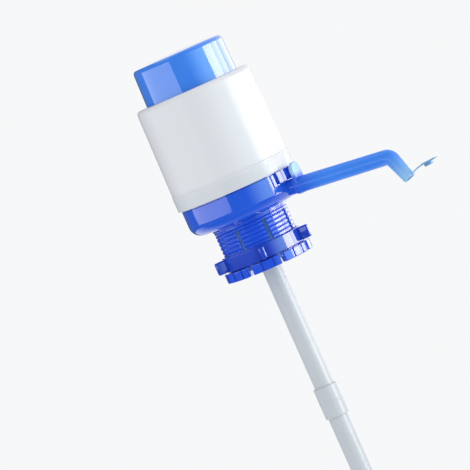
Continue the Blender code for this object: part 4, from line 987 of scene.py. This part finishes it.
def add_thumb_tab(bm):
    """The tab on the collar that the thumb pushes: upright, round-topped, with soft edges."""
    tab = bmesh.new()
    half = TAB_HALF_WIDTH
    made = bmesh.ops.create_circle(tab, cap_ends=True, radius=half, segments=48)
    for vert in made["verts"]:
        if vert.co.y < -MERGE_DISTANCE:
            vert.co.xy = (half if vert.co.x > 0 else -half, -TAB_HEIGHT)
    merge(tab)
    grow_faces(tab, (0, 0, TAB_THICKNESS))
    bmesh.ops.translate(tab, vec=(0, TAB_HEIGHT, -TAB_THICKNESS / 2), verts=tab.verts)
    rims = [edge for edge in tab.edges if abs(edge.verts[0].co.z - edge.verts[1].co.z) < 1e-7]
    round_edges(tab, rims, 0.0006, 4)
    place = facing(COLLAR_START + ALONG * 0.0040, SIDEWAYS, UP, SIDEWAYS.cross(UP))
    add_shells(bm, tab, place)


def shut_to_open():
    """Places a shape drawn in the shut cap's own frame at the open cap."""
    swing = Matrix.Rotation(-HINGE_SWING, 3, "Y")
    return facing(HINGE, swing @ -ACROSS, -SIDEWAYS, swing @ LEG)


def make_mouth_cap():
    """The dust cap: flat lid, hollow plug, pull tab and its half of the strap."""
    bm = bmesh.new()
    place = shut_to_open()
    lid = [
        (0, 0.0022),
        (0.0058, 0.0022, 0.0004),
        (0.0058, 0.0010, 0.0003),
        (0.0038, 0.0010, 0.0002),
        (0.0038, -0.0003),
        (0.0038, -0.0014, 0.0005),
        (0.0028, -0.0014, 0.0003),
        (0.0028, 0.0008),
        (0, 0.0008),
    ]
    add_lathe(bm, rounded(lid), place @ Matrix.Translation((HINGE_REACH, 0, 0)), closed=False)
    tab_place = place @ Matrix.Translation((HINGE_REACH + 0.0029 + 0.0022, 0, 0.0016))
    add_block(bm, (0.0059, 0.0044, STRAP_THICKNESS), tab_place, 0.0003)
    run = Vector((0.0078, 0, 0.0010))
    tilt = Matrix.Rotation(-math.atan2(run.z, run.x), 4, "Y")
    middle = Matrix.Translation((HINGE_GAP + run.x / 2, 0, 0.0006 + run.z / 2))
    size = (run.length, STRAP_WIDTH, STRAP_THICKNESS)
    add_block(bm, size, place @ middle @ tilt, STRAP_ROUNDING)
    finish_shells("lidded_cap", bm, LID_PAINTED_LIGHT_BLUE, "mouth_cap", ["dust_cap"])


def make_hinge_film():
    """The thin web of the living hinge, which bends between the two halves of the strap."""
    bm = bmesh.new()
    half = 0.0006
    size = Matrix.Diagonal((2 * half, 0.0037, 1, 1))
    bmesh.ops.create_grid(bm, x_segments=12, y_segments=1, size=0.5, matrix=size)
    bmesh.ops.translate(bm, vec=(0, 0, 0.00010), verts=bm.verts)
    grow_faces(bm, (0, 0, 0.00030))
    droop = math.pi - HINGE_SWING
    for vert in bm.verts:
        share = min(1, max(0, 0.5 + vert.co.x / half))
        vert.co = Matrix.Rotation(droop * share, 3, "Y") @ vert.co
    place = facing(HINGE, ACROSS, SIDEWAYS, -LEG)
    bmesh.ops.transform(bm, matrix=place, verts=bm.verts)
    face_outwards(bm)
    piece = finish_shells("hinge_film", bm, SPOUT_BLUE, None)
    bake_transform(piece)


# The tube
def tube_outline(top, bottom):
    """One section of dip tube with eased ends."""
    corners = [
        (TUBE_BORE, (top + bottom) / 2),
        (TUBE_BORE, top, 0.0002),
        (TUBE_RADIUS, top, 0.0003),
        (TUBE_RADIUS, bottom, 0.0003),
        (TUBE_BORE, bottom, 0.0002),
    ]
    return closed_rounded(corners, 3)


def sleeve_outline(top, bottom):
    """A sleeve with a stop inside and a band round its middle."""
    middle = (top + bottom) / 2
    upper = [
        (0.0071, 0.0006, 0.0002),
        (SLEEVE_BORE, 0.0006),
        (SLEEVE_BORE, top - middle, 0.0002),
        (SLEEVE_RADIUS, top - middle, 0.0005),
        (SLEEVE_RADIUS, 0.0010),
        (0.0099, 0.0007, 0.0002),
    ]
    lower = [(radius, -height, *fillet) for radius, height, *fillet in reversed(upper)]
    return closed_rounded(
        [(radius, middle + height, *fillet) for radius, height, *fillet in upper + lower], 3
    )


def make_dip_tube():
    """Three sections of milky tube, the last cut on the slant, and the two sleeves."""
    for part in ("upper", "middle", "lower"):
        node = f"dip_tube_{part}"
        low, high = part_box(node)
        bm = bmesh.new()
        if part == "lower":
            lathe(bm, tube_outline(high.z, low.z - 0.004), steps=MEDIUM)
            cut_foot(bm, low.z)
        else:
            lathe(bm, tube_outline(high.z, low.z), steps=MEDIUM)
        finish_piece(f"{part}_tube", bm, TUBE_WHITE, "pump_base", [node])
    for part in ("upper", "lower"):
        node = f"tube_coupler_{part}"
        low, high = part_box(node)
        bm = bmesh.new()
        lathe(bm, sleeve_outline(high.z, low.z), steps=MEDIUM)
        finish_piece(f"{part}_sleeve", bm, TUBE_WHITE, "pump_base", [node])


def cut_foot(bm, lowest):
    """Cuts the tube's foot on the slant, so that it can't seal itself on what it stands on."""
    direction = Vector((-math.sin(TUBE_FOOT_TILT), 0, -math.cos(TUBE_FOOT_TILT)))
    rims = cut_off(bm, Vector((TUBE_RADIUS, 0, lowest)), direction)
    bmesh.ops.triangle_fill(bm, edges=rims, use_beauty=True, normal=direction)


def make_adapter():
    """The barbed nipple that carries the tube."""
    outline = [
        (WATER_BORE, 0.0010),
        (0.0105, 0.0010, 0.0004),
        (0.0105, -0.0012, 0.0004),
        (TUBE_RADIUS, -0.0012),
        (TUBE_RADIUS, -0.0071, 0.0003),
        (0.0065, -0.0071),
        (0.0065, -0.0090),
        (0.0060, -0.0128),
        (0.0065, -0.0130),
        (0.0065, -0.0147),
        (0.0060, -0.0185),
        (0.0065, -0.0187),
        (0.0065, -0.0203),
        (0.0060, -0.0241),
        (0.0046, -0.0241),
        (0.0046, -0.0078),
        (WATER_BORE, -0.0078),
    ]
    bm = bmesh.new()
    lathe(bm, closed_rounded(outline, 3), steps=MEDIUM)
    finish_piece("barbed_nipple", bm, TUBE_WHITE, "pump_base", ["tube_adapter"])


# The bellows
def make_bellows():
    """The blow-moulded bag: rounded folds between its collars, drawn in one shape, though the real
    bag flattens as the cap goes down.
    """
    low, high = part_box("bellows")
    folds_bottom, folds_top = low.z + 0.0070, high.z - 0.0080
    pitch = (folds_top - folds_bottom) / BELLOWS_FOLDS
    folds = []
    for k in range(2 * BELLOWS_FOLDS - 1):
        radius, fillet = (0.0262, 0.0010) if k % 2 else (0.0330, 0.0012)
        folds.append((radius, folds_bottom + (k + 1) * pitch / 2, fillet))
    outline = [
        (0.0340, low.z, 0.0002),
        (0.0340, low.z + 0.0014, 0.0003),
        (BELLOWS_COLLAR, low.z + 0.0014, 0.0003),
        (BELLOWS_COLLAR, folds_bottom, 0.0006),
        *folds,
        (BELLOWS_COLLAR, folds_top, 0.0006),
        (BELLOWS_COLLAR, high.z, 0.0004),
        (0.0240, high.z, 0.0003),
        (0.0240, high.z - 0.0014, 0.0003),
        (0.0270, high.z - 0.0014, 0.0003),
        (0.0270, folds_top, 0.0006),
        *((radius - BELLOWS_WALL, height, fillet) for radius, height, fillet in reversed(folds)),
        (0.0270, folds_bottom, 0.0006),
        (0.0270, low.z + 0.0001),
    ]
    bm = bmesh.new()
    lathe(bm, closed_rounded(outline), steps=96)
    piece = finish_piece(
        "folded_bellows", bm, BELLOWS_GREY, "pump_base", ["bellows"]
    )
    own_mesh(piece)


make_press_cap()
make_casing()
make_pan()
make_collet()
make_lock_ring()
make_gasket()
make_spout()
make_mouth_cap()
make_hinge_film()
make_dip_tube()
make_adapter()
make_bellows()

# The solids that stay
NODE_FINISHES = {
    "bellows_top_plate": INNER_WHITE,
    "bellows_clamp_ring": INNER_WHITE,
    "bellows_seat": INNER_WHITE,
    "intake_valve": SILICONE,
    "delivery_valve": SILICONE,
    "spout_seal": SILICONE,
    "adapter_seal": SILICONE,
    "water_elbow": PAN_BLUE,
}
for node_name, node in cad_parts.items():
    node_finish = NODE_FINISHES.get(node_name, STEEL if "screw" in node_name else CAP_BLUE)
    node.data.materials.clear()
    node.data.materials.append(node_finish)

# The camera. It is tilted about its own axis, so that the upright pump leans in the picture
AZIMUTH = math.radians(33)
ELEVATION = math.radians(3.37)
LEAN = math.radians(24)
DISTANCE = 2.93
PICTURE_WIDTH = 470 * 0.0008
SENSOR_WIDTH = 36
AXIS_OFFSET = 20.4 * 0.0008
ORIGIN_OFFSET = 10.3 * 0.0008
right = Vector((math.cos(AZIMUTH), math.sin(AZIMUTH), 0))
front = Vector((math.sin(AZIMUTH), -math.cos(AZIMUTH), 0))
back = front * math.cos(ELEVATION) + UP * math.sin(ELEVATION)
above = back.cross(right)
target = UP * 0.003 - right * AXIS_OFFSET - above * ORIGIN_OFFSET
camera_data = bpy.data.cameras.new("camera")
camera_data.sensor_width = SENSOR_WIDTH
camera_data.lens = SENSOR_WIDTH * DISTANCE / PICTURE_WIDTH
camera_data.clip_end = 50
camera_right = right * math.cos(LEAN) - above * math.sin(LEAN)
camera_up = right * math.sin(LEAN) + above * math.cos(LEAN)
camera_place = facing(target + back * DISTANCE, camera_right, camera_up, back)
bpy.context.scene.camera = put_in_scene("camera", camera_data, camera_place)


# The stage and the light
BACKGROUND = (0.93, 0.935, 0.945, 1)
FLOOR_HEIGHT = -0.52
FLOOR_RADIUS = 1.6
FLOOR_FADE = (0.30, 1.20)
UNLIT = (0.08, 0.10, 0.14)


def towards(angle):
    """The level direction from the pump at an angle to the right of the camera, in degrees."""
    turn = math.radians(angle)
    return front * math.cos(turn) + right * math.sin(turn)


def soft_box(name, angle, distance, width, low, high, shine, fill):
    """An upright soft box facing the pump: one lamp for what gloss shows, one for the fill."""
    direction = towards(angle)
    place = pointing(direction * distance + UP * ((low + high) / 2), direction)
    for part, radiance in (("shine", shine), ("fill", fill)):
        data = bpy.data.lights.new(f"{name}_{part}", "AREA")
        data.shape = "RECTANGLE"
        data.size, data.size_y = width, high - low
        data.energy = radiance * math.pi * width * (high - low)
        lamp = put_in_scene(f"{name}_{part}", data, place)
        lamp.visible_camera = False
        lamp.visible_glossy = part == "shine"
        lamp.visible_diffuse = part == "fill"


def stage_flag(name, bm, colour, brighter, side, start, end):
    """An unlit grey stage piece that only gloss sees, brighter towards one side."""
    material = bpy.data.materials.new(name)
    material.use_nodes = True
    tree = material.node_tree
    tree.nodes.clear()
    past = faded_along(tree, side, start, end)
    tone = mixed(tree, past, (*colour, 1), (*brighter, 1))
    glow = wired(tree, "Emission", {"Color": tone})
    wired(tree, "OutputMaterial", {"Surface": glow.outputs[0]})
    flag = mesh_object(name, bm, material)
    flag.visible_camera = False
    flag.visible_diffuse = False
    flag.visible_shadow = False
    flag.visible_transmission = False


def dome_flag(name, angles, rises, distance, colour, brighter):
    """Part of a dome between two angles and two elevations, as dark as a studio's unlit side."""
    first, last = angles
    low, high = rises
    steps = 12
    slopes = [math.radians(low + (high - low) * k / steps) for k in range(steps + 1)]
    outline = [(distance * math.cos(slope), distance * math.sin(slope)) for slope in slopes]
    bm = bmesh.new()
    start = Matrix.Rotation(math.radians(angle_of(towards(first))), 3, "Z")
    spun(bm, outline_edges(bm, outline, False, start), math.radians(last - first), steps)
    side = towards((first + last) / 2 + 90)
    span = math.sin(math.radians((last - first) / 2)) * distance
    stage_flag(name, bm, colour, brighter, side, -0.1 * span, span)


def floor_flag(name, height, colour, brighter):
    """A ring just over the floor, for what the pump's underside shows: dark in front."""
    bm = bmesh.new()
    geometry = outline_edges(bm, [(0.03, height), (FLOOR_RADIUS, height)], False)
    spun(bm, geometry, TURN, 48, use_merge=True)
    stage_flag(name, bm, colour, brighter, towards(160), -0.35, 0.35)


def backdrop_rays(tree):
    """A factor of one for the rays that should see the plain background."""
    rays = tree.nodes.new("ShaderNodeLightPath").outputs
    either = computed(tree, "MAXIMUM", rays["Is Camera Ray"], rays["Is Glossy Ray"])
    return computed(tree, "MAXIMUM", either, rays["Is Transmission Ray"])


def shown_instead(tree, factor, usual, seen, output):
    """Sends one shader to an output, and another in its place by a factor."""
    mix = wired(tree, "MixShader", {0: factor, 1: usual.outputs[0], 2: seen.outputs[0]})
    feed(tree, tree.nodes[output], {"Surface": mix.outputs[0]})


def make_world():
    """A pale background for what looks at it, and a soft grey light for the rest."""
    world = bpy.data.worlds.new("studio")
    bpy.context.scene.world = world
    world.use_nodes = True
    tree = world.node_tree
    light = tree.nodes["Background"]
    feed(tree, light, {"Color": (0.96, 0.98, 1, 1), "Strength": 0.92})
    seen = wired(tree, "Background", {"Color": BACKGROUND})
    shown_instead(tree, backdrop_rays(tree), light, seen, "World Output")


def make_floor():
    """A plain pale floor under the tube's foot that fades into the background far out."""
    bm = bmesh.new()
    bmesh.ops.create_circle(bm, cap_ends=True, radius=FLOOR_RADIUS, segments=96)
    bmesh.ops.translate(bm, vec=UP * FLOOR_HEIGHT, verts=bm.verts)
    material = bpy.data.materials.new("floor")
    material.use_nodes = True
    tree = material.node_tree
    shader = tree.nodes["Principled BSDF"]
    matte = {"Base Color": (0.90, 0.905, 0.915, 1), "Roughness": 0.9, "Specular IOR Level": 0}
    feed(tree, shader, matte)
    far = faded(tree, axis_distance(tree), *FLOOR_FADE)
    seen = wired(tree, "Emission", {"Color": BACKGROUND})
    factor = computed(tree, "MULTIPLY", far, backdrop_rays(tree))
    shown_instead(tree, factor, shader, seen, "Material Output")
    floor = mesh_object("floor", bm, material)


make_world()
make_floor()
# Name, angle, distance, width, low end, high end, radiance for gloss, radiance for the fill
soft_box("soft_box_left", -68, 1.5, 2.80, -0.085, 0.30, 1.62, 1.15)
soft_box("strip_light", 76, 1.6, 0.70, -0.50, 0.21, 7.5, 4.3)
soft_box("rim_light_near", 100, 1.6, 0.68, -0.24, 0.21, 4.8, 0.75)
soft_box("rim_light_far", 131, 1.6, 1.10, -0.24, 0.21, 2.0, 0.75)
# Name, angles, elevations, distance, colour, colour at the bright side
dome_flag("front_flag_low", (-40, 64), (-17, 8), 3.4, UNLIT, (1.5, 2.4, 2.3))
dome_flag("front_flag_high", (-40, 64), (8, 84), 3.4, UNLIT, (0.5, 0.7, 0.8))
dome_flag("left_flag", (-176, -40), (-17, 60), 3.3, (0.10, 0.12, 0.16), UNLIT)
floor_flag("floor_flag", FLOOR_HEIGHT + 0.005, UNLIT, (0.93, 0.95, 1.0))
bpy.context.scene.view_settings.view_transform = "Standard"
